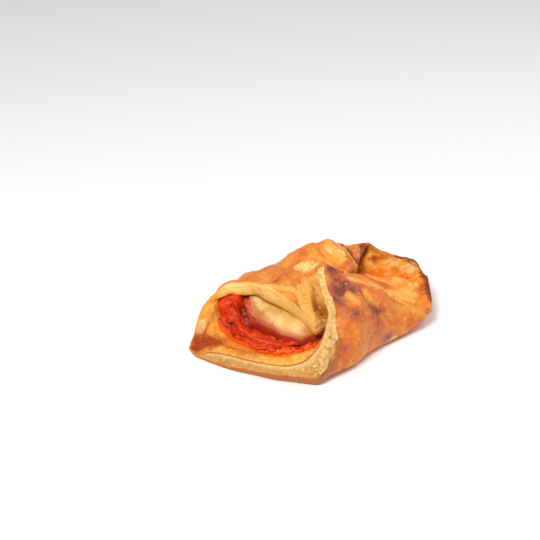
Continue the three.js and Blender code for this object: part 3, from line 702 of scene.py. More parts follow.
# %% [markdown]
# Shader sums
#
# A material is a sum of masks and noises. A small class wraps a socket, so that such a sum is written like
# any other sum. Colours are never added: each is laid over the ones before it, as a glaze is brushed on.

# %% Shader sums


def srgb(red, green, blue):
    """A display colour from 0 to 255 as linear light: ((c + 0.055) / 1.055)^2.4."""
    c = np.array([red, green, blue]) / 255
    linear = np.where(c <= 0.04045, c / 12.92, ((c + 0.055) / 1.055) ** 2.4)
    return (*linear, 1.0)


def feed(node, inputs):
    """Each input of the node becomes a value, or a link from a wire."""
    for name, value in inputs.items():
        if isinstance(value, Wire):
            value.tree.links.new(value.socket, node.inputs[name])
        else:
            node.inputs[name].default_value = value


class Wire:
    """A socket of a material. Sums and products of wires and numbers become Math nodes."""

    def __init__(self, tree, socket=None):
        self.tree, self.socket = tree, socket

    def node(self, kind, inputs, output=0, **settings):
        """Adds a node: settings first, then its inputs."""
        made = self.tree.nodes.new(kind)
        for name, value in settings.items():
            setattr(made, name, value)
        feed(made, inputs)
        return Wire(self.tree, made.outputs[output])

    def math(self, operation, first, second=0.0):
        """One operation on two wires or numbers."""
        return self.node("ShaderNodeMath", {0: first, 1: second}, operation=operation)

    def __add__(self, other):
        return self.math("ADD", self, other)

    def __sub__(self, other):
        return self.math("SUBTRACT", self, other)

    def __rsub__(self, other):
        return self.math("SUBTRACT", other, self)

    def __mul__(self, other):
        return self.math("MULTIPLY", self, other)

    __radd__, __rmul__ = __add__, __mul__

    def step(self, low, high):
        """0 up to low and 1 from high on, smooth between them. It falls where high is smaller."""
        limits = {"Value": self, "From Min": low, "From Max": high}
        return self.node("ShaderNodeMapRange", limits, interpolation_type="SMOOTHSTEP")

    def mask(self, name):
        """The piece's own attribute of that name."""
        return self.node("ShaderNodeAttribute", {}, "Fac", attribute_name=name)

    def place(self):
        """Object coordinates in mm."""
        metres = self.node("ShaderNodeTexCoord", {}, "Object")
        return self.node("ShaderNodeVectorMath", {0: metres, "Scale": 1 / MM}, operation="SCALE")

    def stretched(self, x, y, z):
        """This vector with each axis divided by a length in mm."""
        return self.node("ShaderNodeVectorMath", {0: self, 1: (1 / x, 1 / y, 1 / z)}, operation="MULTIPLY")

    def noise(self, size, detail=3.0, rough=0.55):
        """Noise from 0 to 1 whose patches are about as wide as the size."""
        inputs = {"Vector": self, "Scale": 1 / size, "Detail": detail, "Roughness": rough}
        return self.node("ShaderNodeTexNoise", inputs)

    def mix(self, colour, *coats):
        """The colour with each coat (a colour and its amount) laid over it in turn. A colour is a wire or
        three display values."""
        for other, amount in coats:
            first, second = (c if isinstance(c, Wire) else srgb(*c) for c in (colour, other))
            colour = self.node("ShaderNodeMix", {0: amount, 6: first, 7: second}, 2, data_type="RGBA")
        return colour

    def bump(self, height, distance):
        """A normal that follows a height from 0 to 1, whose top is the distance in mm."""
        return self.node("ShaderNodeBump", {"Height": height, "Distance": distance * MM, "Strength": 1})


def new_material(name):
    """A material, and a wire to start its sums from."""
    material = bpy.data.materials.new(name)
    material.use_nodes = True
    return material, Wire(material.node_tree)


def finish_material(material, inputs):
    """Wires and numbers go into the sockets of the material's surface shader."""
    feed(material.node_tree.nodes["Principled BSDF"], inputs)


print("middle grey as linear light:", round(float(srgb(128, 128, 128)[0]), 3))

# %% [markdown]
# Where the crust is dark, pale, golden or glazed
#
# The browning of a real basket follows its shape: tips and torn edges burn first, the shaded inside of a
# fold stays pale, and the egg glaze lies on the outside only. Named spots and strokes give the browning of
# this basket, each with its place on the sheet in mm and its size. Some of them are painted light instead:
# painted shade where the near flap's skin turns under at its lower end, and painted highlights along raised
# folds and on the left rim. The noise that warps them gives them the ragged outlines of real browning.

# %% Browning of the crust
DARK_STROKES = [
    # line over the crust, width, strength
    ([(7, -11.6, 32), (9.5, -18.8, 31), (12.9, -19, 29), (16, -22, 26)], 2.2, 0.8),
    ([(8.4, -12.2, 31.5), (9.4, -16.5, 30.5), (9.8, -20.6, 29.5), (12, -23.2, 27.1)], 1.5, 0.75),
    ([(22.4, 7.6, 28.5), (14, 8, 28.5), (9, 7, 29)], 1.6, 0.6),
    ([(-10.5, 8.3, 28), (-4.7, 9.6, 28.5), (5, 10.1, 29)], 1.4, 0.75),
    ([(-10.5, 8.3, 28), (-15.7, 1.7, 27), (-17, -5.2, 25)], 1.4, 0.55),
    ([(27.2, 26, 31.4), (28.6, 24.4, 30.8), (30.3, 23.8, 29), (30.8, 22.2, 27.6), (30.7, 19.6, 26),
      (30.7, 16, 25)], 1.5, 1.3),
    ([(38.6, 23, 30), (38, 20.2, 28.6), (37.1, 19.6, 26), (35.1, 18.4, 24), (31, 14.9, 24.4)], 2.6, 1.3),
    ([(52.9, 11.9, 24.7), (59.6, 8.9, 21.5), (64, 6, 18)], 1.2, 0.9),
    ([(66, 2, 14.5), (65, -3, 13.5), (61, -8, 13), (57, -18, 11)], 3.6, 1.0),
    ([(56.6, -18, 12.5), (52.9, -23.3, 11.9), (49, -25, 10)], 2.6, 0.8),
    # the next two: painted shade where the near flap's skin turns under at its lower left end
    ([(-14, -42.6, 16.6), (-12.7, -38.4, 22.6), (-9.4, -30, 26.9), (-5.6, -20, 31)], 1.5, 0.6),
    ([(-26.8, -43.2, 4), (-19.1, -44.6, 6.6), (-15.1, -43.6, 11)], 1.8, 0.7),
]
print("dark strokes:", len(DARK_STROKES))

# %% Dark, pale and brown places
DARK_SPOTS = [
    # place, size, strength
    ((8, 2, 34.5), (3.6, 4, 5), 1.3),
    ((7, -5, 33), (3.4, 4.5, 5), 1.0),
    ((1.5, -13.5, 31.5), (4.5, 5.5, 5), 1.3),
    ((6.5, -11, 32), (5, 4.5, 5), 1.15),
    ((8.5, -16.5, 31.5), (4.5, 3.5, 5), 1.0),
    ((-4, -22, 31), (3.2, 6, 5), 1.0),
    ((0.5, -31.5, 27.5), (6, 4, 6), 0.8),
    ((15, -27.5, 22.5), (6, 5, 6), 0.88),
    ((13.5, -32, 17.5), (4, 4, 5), 0.7),
    ((10.5, -34.5, 11.5), (5, 4, 3.5), 0.6),
    ((20.2, -31, 7), (4, 3, 3), 1.0),
    ((22, -29.8, 14.5), (3.5, 3, 4), 0.5),
    ((34, 21.7, 28), (3.5, 5, 4), 0.45),
    ((-18.8, 14.8, 28.7), (2, 1.6, 4), 0.8),
    ((-18, 8.6, 28.2), (1.8, 1.6, 4), 0.7),
    ((-5.1, 20.6, 28.7), (2.5, 5, 4), 0.45),
    ((-12, 26, 28.5), (7, 3, 4), 0.4),
    ((4, 29, 32), (6, 4, 5), 0.35),
    ((24, 2, 28), (4, 3, 4), 0.7),
    ((32, -12, 23), (5, 4, 5), 0.35),
]
PALE_SPOTS = [
    # where the oven's heat came last: under the folds and beside the table; also painted highlights on the
    # left rim and, in part, on the ridge beside the notch
    ((1, 18.5, 30), (7, 4.5, 5), 0.85),
    ((5.3, 15.8, 30), (4, 3.5, 5), 0.7),
    # painted highlight on the rounded outside of the left rim
    ((-60, 24.5, 8), (6, 3.5, 7), 1.0),
    # the next two: the cream ridge beside the notch of the far flap, partly a painted highlight
    ((18.5, 22.5, 32.7), (3.6, 5, 4), 0.6),
    ((22.8, 18.5, 32.3), (2.8, 4.5, 4), 0.85),
    ((26.6, -30, 3), (9, 3, 2.5), 0.9),
    ((14, -35, 3), (6, 3, 2.5), 0.8),
]
CREASE_SHADE_STROKES = [
    # painted shade along the lower end of the near flap, where its skin turns under, half brown
    ([(-26, -43, 3), (-19, -43.5, 5), (-16.5, -42, 10), (-12.8, -40.3, 17)], 3.2, 0.75),
]
print("dark and pale spots:", len(DARK_SPOTS), len(PALE_SPOTS))

# %% Toasted places, and golden painted highlights
TOASTED_SPOTS = [
    # the left corner
    ((-61, 14, 5), (9.5, 9, 7), 1.3),
]
TOASTED_STROKES = [
    # inside the left corner, along the cut edge
    ([(-58, 21, 6), (-56, 12, 5), (-53.5, 3, 5.5), (-52, -6, 7), (-47, -14, 8)], 4, 0.52),
]
GOLD_HIGHLIGHT_STROKES = [
    # painted highlights along the raised folds, golden yellow
    ([(20.3, 29.8, 33), (19.3, 21.8, 33), (20.2, 13, 31.5)], 3.4, 1.2),
    ([(15.2, 25, 31.6), (16, 19.8, 31), (16.5, 12, 29)], 1.4, 0.6),
    ([(12.1, -9.1, 32.5), (18.2, -12.1, 29.8), (24.4, -16, 26), (34.3, -17, 21), (44, -20, 15)], 2.8, 1.0),
    ([(36, -20, 19.5), (40.5, -21.3, 17.7), (46, -22.5, 14)], 2.2, 0.9),
    ([(27, -25, 20), (32, -24.5, 17.5), (37.3, -25, 14.8), (46, -25.5, 9)], 3.4, 0.6),
    ([(15.5, -18.5, 28.2), (19.5, -20.8, 26.7), (24, -20.5, 25)], 2.2, 0.45),
    ([(3.6, -18, 30), (4.5, -20.6, 29.3), (5.5, -24.7, 28.2)], 2.8, 0.8),
    ([(-24.5, 14.5, 28), (-19.5, 9, 27.5), (-16, 4, 27)], 2.6, 1.1),
    ([(-2, -36, 22), (0, -38, 14), (4, -37, 8)], 4, 0.35),
]
BOWL_GOLD = [
    # golden places in the right mouth
    ((53, 12, 23), (7, 3, 4), 1.1),
    ((60.5, 8, 18), (5, 4, 4.5), 1.25),
    ((56, 0, 14), (4, 5, 5), 0.7),
]
BOWL_RED = [
    # places where the sauce coloured it
    ((54, 5.3, 16), (2.2, 2, 4), 1.0),
    ((44.7, 5.7, 16), (4, 5, 4), 0.6),
    ((57, -8, 15), (7, 7, 6), 1.0),
    ((65, 1, 15), (3.5, 6, 6), 1.0),
    ((36, 17, 17), (6, 5, 6), 0.9),
    ((43, 18, 23), (3.5, 3, 4), 0.9),
]


def marked(points, spots):
    """The strongest of several bells at each point."""
    return np.max([strength * bell(points, place, size) for place, size, strength in spots], axis=0)


def widened_spots(spots, factor):
    """The same spots, larger by the factor."""
    return [(place, tuple(factor * length for length in size), strength) for place, size, strength in spots]


def stroked(points, strokes):
    """The strongest of several strokes at each point."""
    return np.max([strength * stroke(points, line, width) for line, width, strength in strokes], axis=0)


print("golden strokes:", len(GOLD_HIGHLIGHT_STROKES))

# %% Masks of the crust
ring_x = ring[..., 0]
warped = ring + np.stack([2 * layered_noise(ring, 5, seed) for seed in (21, 24, 27)], -1)
dark = np.maximum(marked(warped, DARK_SPOTS), stroked(0.6 * ring + 0.4 * warped, DARK_STROKES))
# browned halos round the dark spots, and painted shade along the lower end of the near flap
browned_and_shaded = np.maximum(marked(warped, widened_spots(DARK_SPOTS, 1.6)), stroked(warped, CREASE_SHADE_STROKES))
toasted = np.maximum(marked(warped, TOASTED_SPOTS), stroked(warped, TOASTED_STROKES))
upper_edge = np.maximum(bell(ring_x[..., None], 36, 6), 0.7 * step(ring_x, 46, 60))
only_outside, only_near_cut, only_inside, only_far_cut = (around_ring(*which) for which in np.eye(4))
pastry_masks = {
    "inner": only_inside,
    "cut": only_near_cut + only_far_cut,
    "stack": around_ring(0, near_stack, 1, far_stack),
    "torn": around_ring(torn, 0, 0, 0),
    "hollow": around_ring(hollow, 0, 0, 0),
    "high": around_ring(skin - 0.6 * soften(skin, 30), 0, 0, 0),
    "dark": dark,
    # browned halos, and painted shade at the near flap's lower end
    "browned_and_shaded": browned_and_shaded * only_outside,
    # browner skin under the near cut edge, with painted shade where it turns under
    "brown_and_shade_under_cut": around_ring(is_near * np.exp(-(from_edge / 5) ** 2) * step(grid_x, -8, -16), 0, 0, 0),
    "pale": marked(warped, PALE_SPOTS) * (only_outside + only_inside),
    # painted highlights along the raised folds
    "golden": stroked(0.5 * ring + 0.5 * warped, GOLD_HIGHLIGHT_STROKES) * only_outside,
    "turned_up": bell(ring_x[..., None], -13, 9) * only_near_cut,
    "beside_tip": step(ring_x, -11, -5) * only_near_cut,
    # the ring's inside away from its edge; the edge stays lighter as a painted highlight
    "beside_sauce": around_ring(0, 0, inner_near * step(inner_from_edge, 2, 9), 0),
    "tip": np.maximum(step(ring_x, 60, 68), toasted),
    # painted shade in the crease between the near cut face and the ring
    "crease_shade": around_ring(0, np.exp(-((1 - near_stack) / 0.06) ** 2),
                          inner_near * np.exp(-inner_from_edge / 0.6), 0),
    "to_right": step(ring_x, -34, -16),
    "lip": step(ring_x, -48, -38),
    "rim": around_ring(is_far * np.exp(-(from_edge / 3.2) ** 2), 0, 0, 0) * step(ring_x, 8, -4),
    "corner": step(ring_x, -40, -52) * around_ring(is_far, 0, 0, 1),
    "far_rim": step(ring_x, 0, -8) * only_far_cut,
    "right_rim": step(ring_x, 20, 28) * only_far_cut,
    "burnt_edge": upper_edge * only_far_cut,
    "bowl": step(ring_x, 26, 34) * only_inside,
    "bowl_gold": marked(warped, BOWL_GOLD),
    "bowl_red": marked(warped, BOWL_RED),
}
print("share of dark crust:", round(float((dark > 0.4).mean()), 3))

# %% [markdown]
# The colours of the crust
#
# The outside goes from yellow-orange dough through brown to nearly black. The inside is paler, and the cut
# edges show cream and ochre lines. Painted shade darkens the pits of the relief, the torn hollow, the
# crease and the lower side of the lip; painted highlights lighten the crests of the relief, the top of the
# lip and the raised folds. Each surface has its own colour first. Then its mask lays it over the outside,
# so every change of colour lies exactly where the shape changes.

# %% Crust


def bowl_colour(place):
    """Oil, cheese and sauce that ran into the right mouth: orange, with golden and with red places."""
    grain = place.noise(2.5, 4) - 0.5
    return place.mix(
        (240, 134, 38),
        ((252, 180, 74), place.noise(6, 4).step(0.4, 0.62)),
        ((254, 202, 122), (place.mask("bowl_gold") + grain).step(0.2, 0.9)),
        ((192, 78, 38), (place.mask("bowl_red") + grain).step(0.3, 0.9) * 0.85))


# %% Grain of the crust
crust, start = new_material("baked_crust")
place, mask = start.place(), start.mask
inner, cut, stack, dark, pale, browned_and_shaded_mask, torn_mask, far_rim = (
    mask(name) for name in ("inner", "cut", "stack", "dark", "pale", "browned_and_shaded", "torn", "far_rim"))
speckle = place.noise(0.9, 5, 0.6)
relief = place.noise(1.7, 6, 0.62)
grain = (speckle - 0.5) * 0.5 + (relief - 0.5) * 0.9
blister = mask("high") + grain * 0.5
print("nodes for masks and grain:", len(crust.node_tree.nodes))

# %% Colours of the outside
baked = start.mix(
    (220, 106, 22),
    ((234, 132, 34), place.noise(11).step(0.35, 0.65)),
    ((246, 172, 70), place.noise(7, 4).step(0.46, 0.68) * 0.55),
    ((246, 182, 84), blister.step(-0.1, -0.8) * 0.5),
    ((180, 72, 18), blister.step(0.1, 0.9) * 0.4),
    ((188, 78, 20), place.noise(4, 4, 0.6).step(0.5, 0.74) * 0.25),
    # darker in the pits of the relief: painted shade
    ((160, 66, 18), relief.step(0.45, 0.28) * 0.4),
    # small pale flecks: painted glints on the glaze
    ((252, 196, 136), place.noise(2.6, 5, 0.6).step(0.56, 0.74) * 0.4),
    # browned halos, and painted shade at the near flap's lower end
    ((166, 64, 36), (browned_and_shaded_mask + grain).step(0.2, 1) * 0.9),
    # painted highlights along the raised folds
    ((250, 182, 82), (mask("golden") + grain * 1.2).step(0.2, 0.95) * 0.9),
    # browner skin under the near cut edge, with painted shade where it turns under
    ((172, 96, 42), (mask("brown_and_shade_under_cut") + grain).step(0.1, 0.9) * 0.85),
    ((254, 210, 128), (pale + grain * 1.3).step(0.25, 0.8)))
torn_layers = start.mix(
    (240, 176, 80),
    # darker golden in the hollow under the near flap's edge: painted shade
    ((178, 108, 24), (mask("hollow") + (speckle - 0.5) * 0.4).step(0.1, 0.85)),
    ((246, 196, 108), place.noise(3.5, 5).step(0.5, 0.7) * 0.6),
    # darker in the pits of the relief: painted shade
    ((196, 122, 34), relief.step(0.5, 0.3) * 0.5))
# the lip: lighter at its top, a painted highlight, and darker towards its lower edge and towards the right,
# painted shade
lip = start.mix(
    (248, 200, 116),
    ((230, 162, 64), (stack + grain * 0.6).step(0.1, 0.8)),
    ((208, 146, 44), mask("to_right") * (0.35 + stack * 0.5)))
lip = start.mix((240, 154, 52), (lip, mask("lip")))
print("with the outside:", len(crust.node_tree.nodes))

# %% Colours of the inside and of the cut edges
inside_colour = start.mix(
    (246, 178, 80),
    ((234, 150, 52), place.noise(3, 4).step(0.4, 0.62)),
    # the ring stays lighter along its edge, a painted highlight, and turns deeper orange further in
    ((226, 124, 32), (mask("beside_sauce") + grain).step(0.1, 0.8) * 0.8),
    ((254, 206, 136), (pale + grain).step(0.2, 0.8)),
    ((166, 62, 10), (mask("tip") + (relief - 0.5) * 0.6).step(0.1, 0.9)),
    # darker in the pits of the relief: painted shade
    ((204, 116, 32), relief.step(0.5, 0.3) * 0.4),
    (bowl_colour(place), mask("bowl")))
wander = place.stretched(5, 5, 2).noise(1, 2)
lines = start.math("SINE", stack * 34 + wander * 9).step(-0.2, 0.9)
# both ends lighter on the crests of the relief: painted highlights
golden_end = start.mix((218, 146, 60), ((250, 206, 130), relief.step(0.42, 0.62)))
cream_end = start.mix((232, 168, 84), ((254, 220, 150), relief.step(0.4, 0.6)))
cut_colour = start.mix(
    (206, 148, 76),
    ((164, 104, 40), lines * place.noise(5).step(0.4, 0.6) * 0.5),
    # lighter on the crests of the relief: painted highlights
    ((240, 206, 140), relief.step(0.52, 0.72) * 0.7),
    (golden_end, mask("turned_up") * (stack + (speckle - 0.5)).step(0.1, 0.6)),
    (cream_end, mask("beside_tip")),
    # lighter towards the upper layers, partly a painted highlight
    ((240, 200, 132), (stack + grain * 0.5).step(0.5, 0.95) * 0.7),
    # the far rim takes the lip's colours with their painted highlight and shade
    (lip, far_rim),
    ((186, 96, 34), stack.step(0.12, 0.03) * (1 - far_rim)),
    ((206, 110, 36), mask("tip").step(0.1, 0.8) * 0.7),
    ((224, 128, 44), mask("right_rim")),
    ((108, 46, 26), mask("burnt_edge")))
print("with the inside and the cuts:", len(crust.node_tree.nodes))

# %% The finished crust
colour = start.mix(
    baked,
    (torn_layers, torn_mask),
    # the far flap's outer rim takes the lip's colours, with their painted highlight
    (lip, (mask("rim") + (speckle - 0.5) * 0.5).step(0.35, 0.7)),
    (inside_colour, (inner + mask("corner")).step(0, 1)),
    (cut_colour, cut),
    # painted shade in the crease between the near cut face and the ring
    ((150, 78, 22), mask("crease_shade").step(0.2, 0.9) * 0.75),
    # dark spots and strokes: burnt crust, and painted shade at the lower end of the near flap
    ((104, 36, 20), (dark + grain).step(0.4, 1.1) * 0.9))
glaze = (1 - inner) * (1 - cut) * (1 - pale * 0.7) * (1 - torn_mask)
glaze = glaze * (0.18 + browned_and_shaded_mask * 0.45 + dark * 0.3)
bubbles = place.node("ShaderNodeTexVoronoi", {"Vector": place, "Scale": 0.38}, feature="SMOOTH_F1")
finish_material(crust, {
    "Base Color": colour,
    "Roughness": 0.3 + pale * 0.2 + inner * 0.16 + cut * 0.3 + torn_mask * 0.2 + (speckle - 0.5) * 0.3,
    "Normal": start.bump(relief * 0.8 + place.noise(0.5, 3) * 0.3 - bubbles * 0.7, 1.0),
    "Coat Weight": glaze, "Coat Roughness": 0.24, "Specular IOR Level": 0.22,
    "Subsurface Weight": 0.12, "Subsurface Scale": 0.003,
})
make_tube("pastry_sheet", ring, crust, pastry_masks, "pastry")

# %% [markdown]
# Torn flakes
#
# Where the near edge was pulled up into its flap, the outermost pages broke into flakes. Each flake is a
# thin ribbon that runs along the edge and lies on the cut face, a little proud of it.

# %% Ribbons


def ribbon(line, width, thickness, wave, sections, seed, across=14):
    """A wavy strip along a line: at each place a flat loop, left to right below and back above. The edges
    wave by sin(9t + 1.8v) |v|, and the body is thinner at its edges by 1 - v^2/2."""
    line = np.array(line, float)
    run = edge_length(line)
    t = np.linspace(0, 1, sections)
    centre = np.stack([along(np.stack([run, line[:, i]], 1))(t * run[-1]) for i in range(3)], 1)
    tangent = unit(np.gradient(centre, axis=0))
    sideways = unit(np.cross([0, 0, 1], tangent))
    v = np.cos(np.linspace(0, np.pi, across))
    v = np.concatenate([v, v[-2:0:-1]])[None]
    side = np.concatenate([-np.ones(across), np.ones(across - 2)])[None]
    side = side * np.sqrt(np.clip(1 - v ** 2, 0, 1)) ** 0.6
    t = t[:, None]
    taper = np.sqrt(np.clip(1 - np.abs(2 * t - 1) ** 8, 0, 1)) * 0.95 + 0.05
    rough = 1 + 0.25 * noise(np.stack([t * 7 + 0 * v, v + 0 * t], 2), 1, seed)
    half = width / 2 * taper * (1 + 0.18 * noise(np.stack([t * 5, 0 * t], 2), 1, seed + 1))
    lifted = wave * np.sin(9 * t + 1.8 * v) * np.abs(v)
    body = side * thickness / 2 * (1 - 0.5 * v ** 2) * rough * taper
    points = centre[:, None] + sideways[:, None] * (half * v)[..., None]
    points[..., 2] += lifted + body
    return points, np.broadcast_to(v, points.shape[:2])


def join(parts):
    """Closed grids as one list of points and faces, with one value per point."""
    points, values, faces, count = [], [], [], 0
    for grid, value in parts:
        quads, triangles = tube_faces(*grid.shape[:2])
        points.append(with_middles(grid))
        values.append(with_end_values(value))
        faces += [quads + count, triangles + count]
        count += len(points[-1])
    return np.concatenate(points), np.concatenate(values), faces


print("a straight ribbon of 5 loops:", ribbon([(0, 0, 0), (9, 0, 0), (18, 0, 0)], 2, 1, 0, 5, 1)[0].shape)

# %% Flakes
FLAKES = 60


def flake(number):
    """A ribbon over 4 to 10 sections of the near cut face, at its own place in the stack."""
    random = np.random.default_rng(500 + number)
    first = int(np.searchsorted(section_x, random.uniform(-28, -9)))
    count = int(random.integers(4, 11))
    row = int(random.uniform(0.02, 0.5) * CUT_ROWS)
    line = near_cut[first:first + count, row] + near_way_out[first:first + count] * random.uniform(0, 0.35)
    width, thickness = random.uniform(0.8, 2.4), random.uniform(0.2, 0.35)
    return ribbon(line, width, thickness, 0.3, 3 * count, 600 + number, across=6)


near_way_out = unit(outside[:, -1] - outside[:, -3])
flake_points, flake_across, flake_faces = join([flake(number) for number in range(FLAKES)])
everywhere = np.ones(len(flake_across))
make_piece("torn_flakes", flake_points, flake_faces, crust,
           {"cut": everywhere, "turned_up": everywhere, "stack": 0.5 + 0.5 * np.abs(flake_across)})

# %% [markdown]
# The fillings
#
# They are spread over the middle of the sheet before it is folded: sauce first, then the bacon, a slice of
# ham, and the melted cheese. Each one is a low mound inside its own outline, on top of the one under it.
# The sauce banks up against the far side of the left mouth, and deep folds and an uneven near side make
# it look spooned on. In the right mouth all layers sink into the hollow of the dough.

# %% Shapes of the fillings
# Of each filling in mm: its ends along the basket, the height of its outline over the bed, the near and far
# outline, the height of its crown, how far it banks up at the far side, the height of its lumps, and how
# uneven its near side is.
SAUCE = {
    "from": -49.5, "to": 57, "edge": [[-50, 0.8], [30, 0.8], [44, 0.2], [57, 0.1]],
    "near": [[-49.5, 17], [-48.3, 10], [-46, 3], [-43.5, -4], [-40, -10.5], [-33, -16], [-24, -18.5],
             [-8, -20.5], [20, -19], [40, -15], [52, -11], [57, -6]],
    "far": [[-49.5, 23.5], [-48.7, 27.3], [-46.5, 29.6], [-42, 32], [-36, 36], [0, 36.5], [20, 32],
            [34, 23.5], [40, 17], [45, 13], [52, 9], [57, 6]],
    "top": [[-50, 6], [-40, 7], [-20, 7.5], [32, 7.5], [44, 4], [57, 3]],
    "bank": [[-50, 7], [-46, 11], [-42, 12.5], [-38, 11.5], [-35, 8.5], [-30, 6], [57, 3]],
    "lumps": 0.35, "uneven": 0.7,
}
HAM = {
    "from": -34, "to": 50, "edge": [[-34, 2.4], [30, 2.4], [42, 0.3], [50, 0.1]],
    "near": [[-34, 12.5], [-32.7, 6], [-30.1, -2.6], [-26.7, -9.4], [-20.5, -16], [-12, -17.6], [20, -17],
             [40, -14], [50, -9]],
    "far": [[-34, 19], [-32.5, 26], [-29.5, 32], [-24, 35], [0, 35], [20, 31.5], [34, 23], [40, 17],
            [50, 10]],
    "top": [[-34, 10.8], [-20, 10.5], [32, 10], [44, 5], [50, 4]],
    "bank": [[-34, 1], [50, 1]],
    "lumps": 0.15, "uneven": 0,
}
CHEESE = {
    "from": -33, "to": 57.5, "edge": [[-33, 1.6], [30, 1.6], [44, 0.4], [57.5, 0.3]],
    "near": [[-33, 11], [-31.8, 4], [-29.2, -3.5], [-25.8, -10.7], [-19.5, -16.4], [-10, -17.5],
             [20, -15.5], [40, -13.5], [52, -12], [57.5, -7]],
    "far": [[-33, 16], [-31, 22], [-27, 30], [-22, 34], [0, 34.5], [20, 31], [34, 23],
            [40, 17.5], [45, 14], [52, 10], [57.5, 7]],
    "top": [[-33, 13.2], [-25, 16.5], [-10, 19], [20, 20], [32, 14], [42, 7.5], [57.5, 4]],
    "bank": [[-33, 2], [25, 2], [38, 7], [48, 6], [57.5, 3]],
    "lumps": 0.35, "uneven": 0,
}
print("lengths of the fillings:", [spec["to"] - spec["from"] for spec in (SAUCE, HAM, CHEESE)])

# %% Heights of the fillings
bed = along([[LEFT_TIP, 1.2], [28, 1.2], [42, 0.3], [RIGHT_TIP, 0.1]])


def make_layer(spec, under=None):
    """The layer's outline and heights as functions: a crown that falls to the outline by 1 - across^6 and
    1 - down^10, raised towards the far side by its bank, with a few lumps. Left of the middle the near
    side is uneven by sin(1.1x) + 0.7 sin(2.3x + 1)."""
    names = ("near", "far", "top", "bank", "edge")
    smooth_near, far, crown, bank, edge = (along(spec[name]) for name in names)

    def near(x):
        uneven = spec["uneven"] * step(x, 0, -10)
        return smooth_near(x) + uneven * (np.sin(1.1 * x) + 0.7 * np.sin(2.3 * x + 1))

    def floor(x, y):
        return (under["height"](x, y) if under else lift(x) + dough(x)) + bed(x)

    def height(x, y):
        across = 2 * (y - near(x)) / (far(x) - near(x)) - 1
        down = 2 * (x - spec["from"]) / (spec["to"] - spec["from"]) - 1
        fullness = (1 - np.minimum(1, across ** 6)) * (1 - np.minimum(1, down ** 10))
        lump = spec["lumps"] * (np.sin(0.42 * x + 0.3 * y) + np.sin(0.55 * y - 0.23 * x + 2))
        low = floor(x, y) + edge(x)
        banked = bank(x) * step(across, 0.1, 1)
        return low + np.maximum(0, lift(x) + crown(x) + lump + banked - low) * fullness

    return {**spec, "near": near, "far": far, "floor": floor, "height": height}


sauce_layer = make_layer(SAUCE)
ham_layer = make_layer(HAM, sauce_layer)
cheese_layer = make_layer(CHEESE, ham_layer)
layers = (sauce_layer, ham_layer, cheese_layer)
print("heights at x = 0, y = 5:", [round(float(layer["height"](0.0, 5.0)), 1) for layer in layers])

# %% Slabs
SUNK = 1.6  # how far a filling reaches down into the one under it
END_ROUND = 1.5
DENSER_ENDS = 0.15  # how much denser the sections are at both ends


def slab(layer, sections, top_rows, relief, side_rows=8):
    """A closed ring grid: the floor from far to near, a round side, the top from near to far, and the
    other side. relief(points, from_near) is added to the top's height. Both ends are rounded off."""
    u = np.linspace(0, 1, sections)
    u = u - DENSER_ENDS * np.sin(2 * np.pi * u) / (2 * np.pi)
    x = (layer["from"] + (layer["to"] - layer["from"]) * u)[:, None]
    k = 0.5 - 0.5 * np.cos(np.pi * np.linspace(0, 1, top_rows))[None]
    near, far = layer["near"](x), layer["far"](x)
    y = near + (far - near) * k
    grid_x = np.broadcast_to(x, y.shape)
    low = layer["floor"](grid_x, y) - SUNK
    from_ends = np.minimum(x - layer["from"], layer["to"] - x)
    from_side = np.minimum(np.minimum(y - near, far - y), from_ends)
    points = np.stack([grid_x, y, layer["height"](grid_x, y)], 2)
    points[..., 2] += relief(points, y - near) * step(from_side, -0.4, 2)
    rounding = np.sqrt(1 - (1 - np.clip(from_ends / END_ROUND, 0, 1)) ** 2)
    points[..., 2] = low + (points[..., 2] - low) * np.maximum(rounding, 0.1)
    angle = np.linspace(0, np.pi, side_rows + 2)[1:-1][None]

    def side(column, sign):
        """A round side: half an ellipse between the floor and the top."""
        tall = points[:, column, 2] - low[:, column]
        middle = low[:, column] + tall / 2
        bulge = np.minimum(tall, 3) * 0.3
        out = points[:, column, 1][:, None] + sign * bulge[:, None] * np.sin(angle)
        up = middle[:, None] - tall[:, None] / 2 * np.cos(angle)
        return np.stack([np.broadcast_to(x, out.shape), out, up], 2)

    bottom_columns = np.arange(0, top_rows, 4)[::-1]
    bottom = np.stack([grid_x, y, low], 2)[:, bottom_columns]
    whole = np.concatenate([bottom, side(0, -1), points, side(-1, 1)[:, ::-1]], 1)
    thin = np.ones(whole.shape[:2])
    thin[:, len(bottom_columns) + side_rows:-side_rows] = np.exp(-np.maximum(from_side, 0) / 2)
    return whole, thin


print("points of a ham slab without relief:", slab(ham_layer, 9, 9, lambda points, from_near: 0)[0].shape)

# %% Relief of the fillings
SAUCE_VALLEYS = [
    # deep folds of the sauce, darkened with painted shade: along the ham, at the left end, and between two
    # lobes
    ([(-34.6, 26.5, 12), (-36.2, 19, 9.2), (-35.8, 11, 7.6)], 2.3, 1.15),
    ([(-35.2, 11, 7.6), (-31.2, 2.5, 6.8), (-28.5, -8, 7.5), (-23, -13.5, 7.5)], 1.5, 0.8),
    ([(-47.6, 26, 8.6), (-47.8, 21.5, 7.9), (-46.2, 16.5, 6.9), (-46.6, 10.5, 5.7)], 1.1, 0.8),
    ([(-43, 21, 9.5), (-43.6, 17, 6.8), (-44.6, 9, 6.2), (-41, -1, 6.5), (-35, -9, 7)], 0.9, 0.75),
]


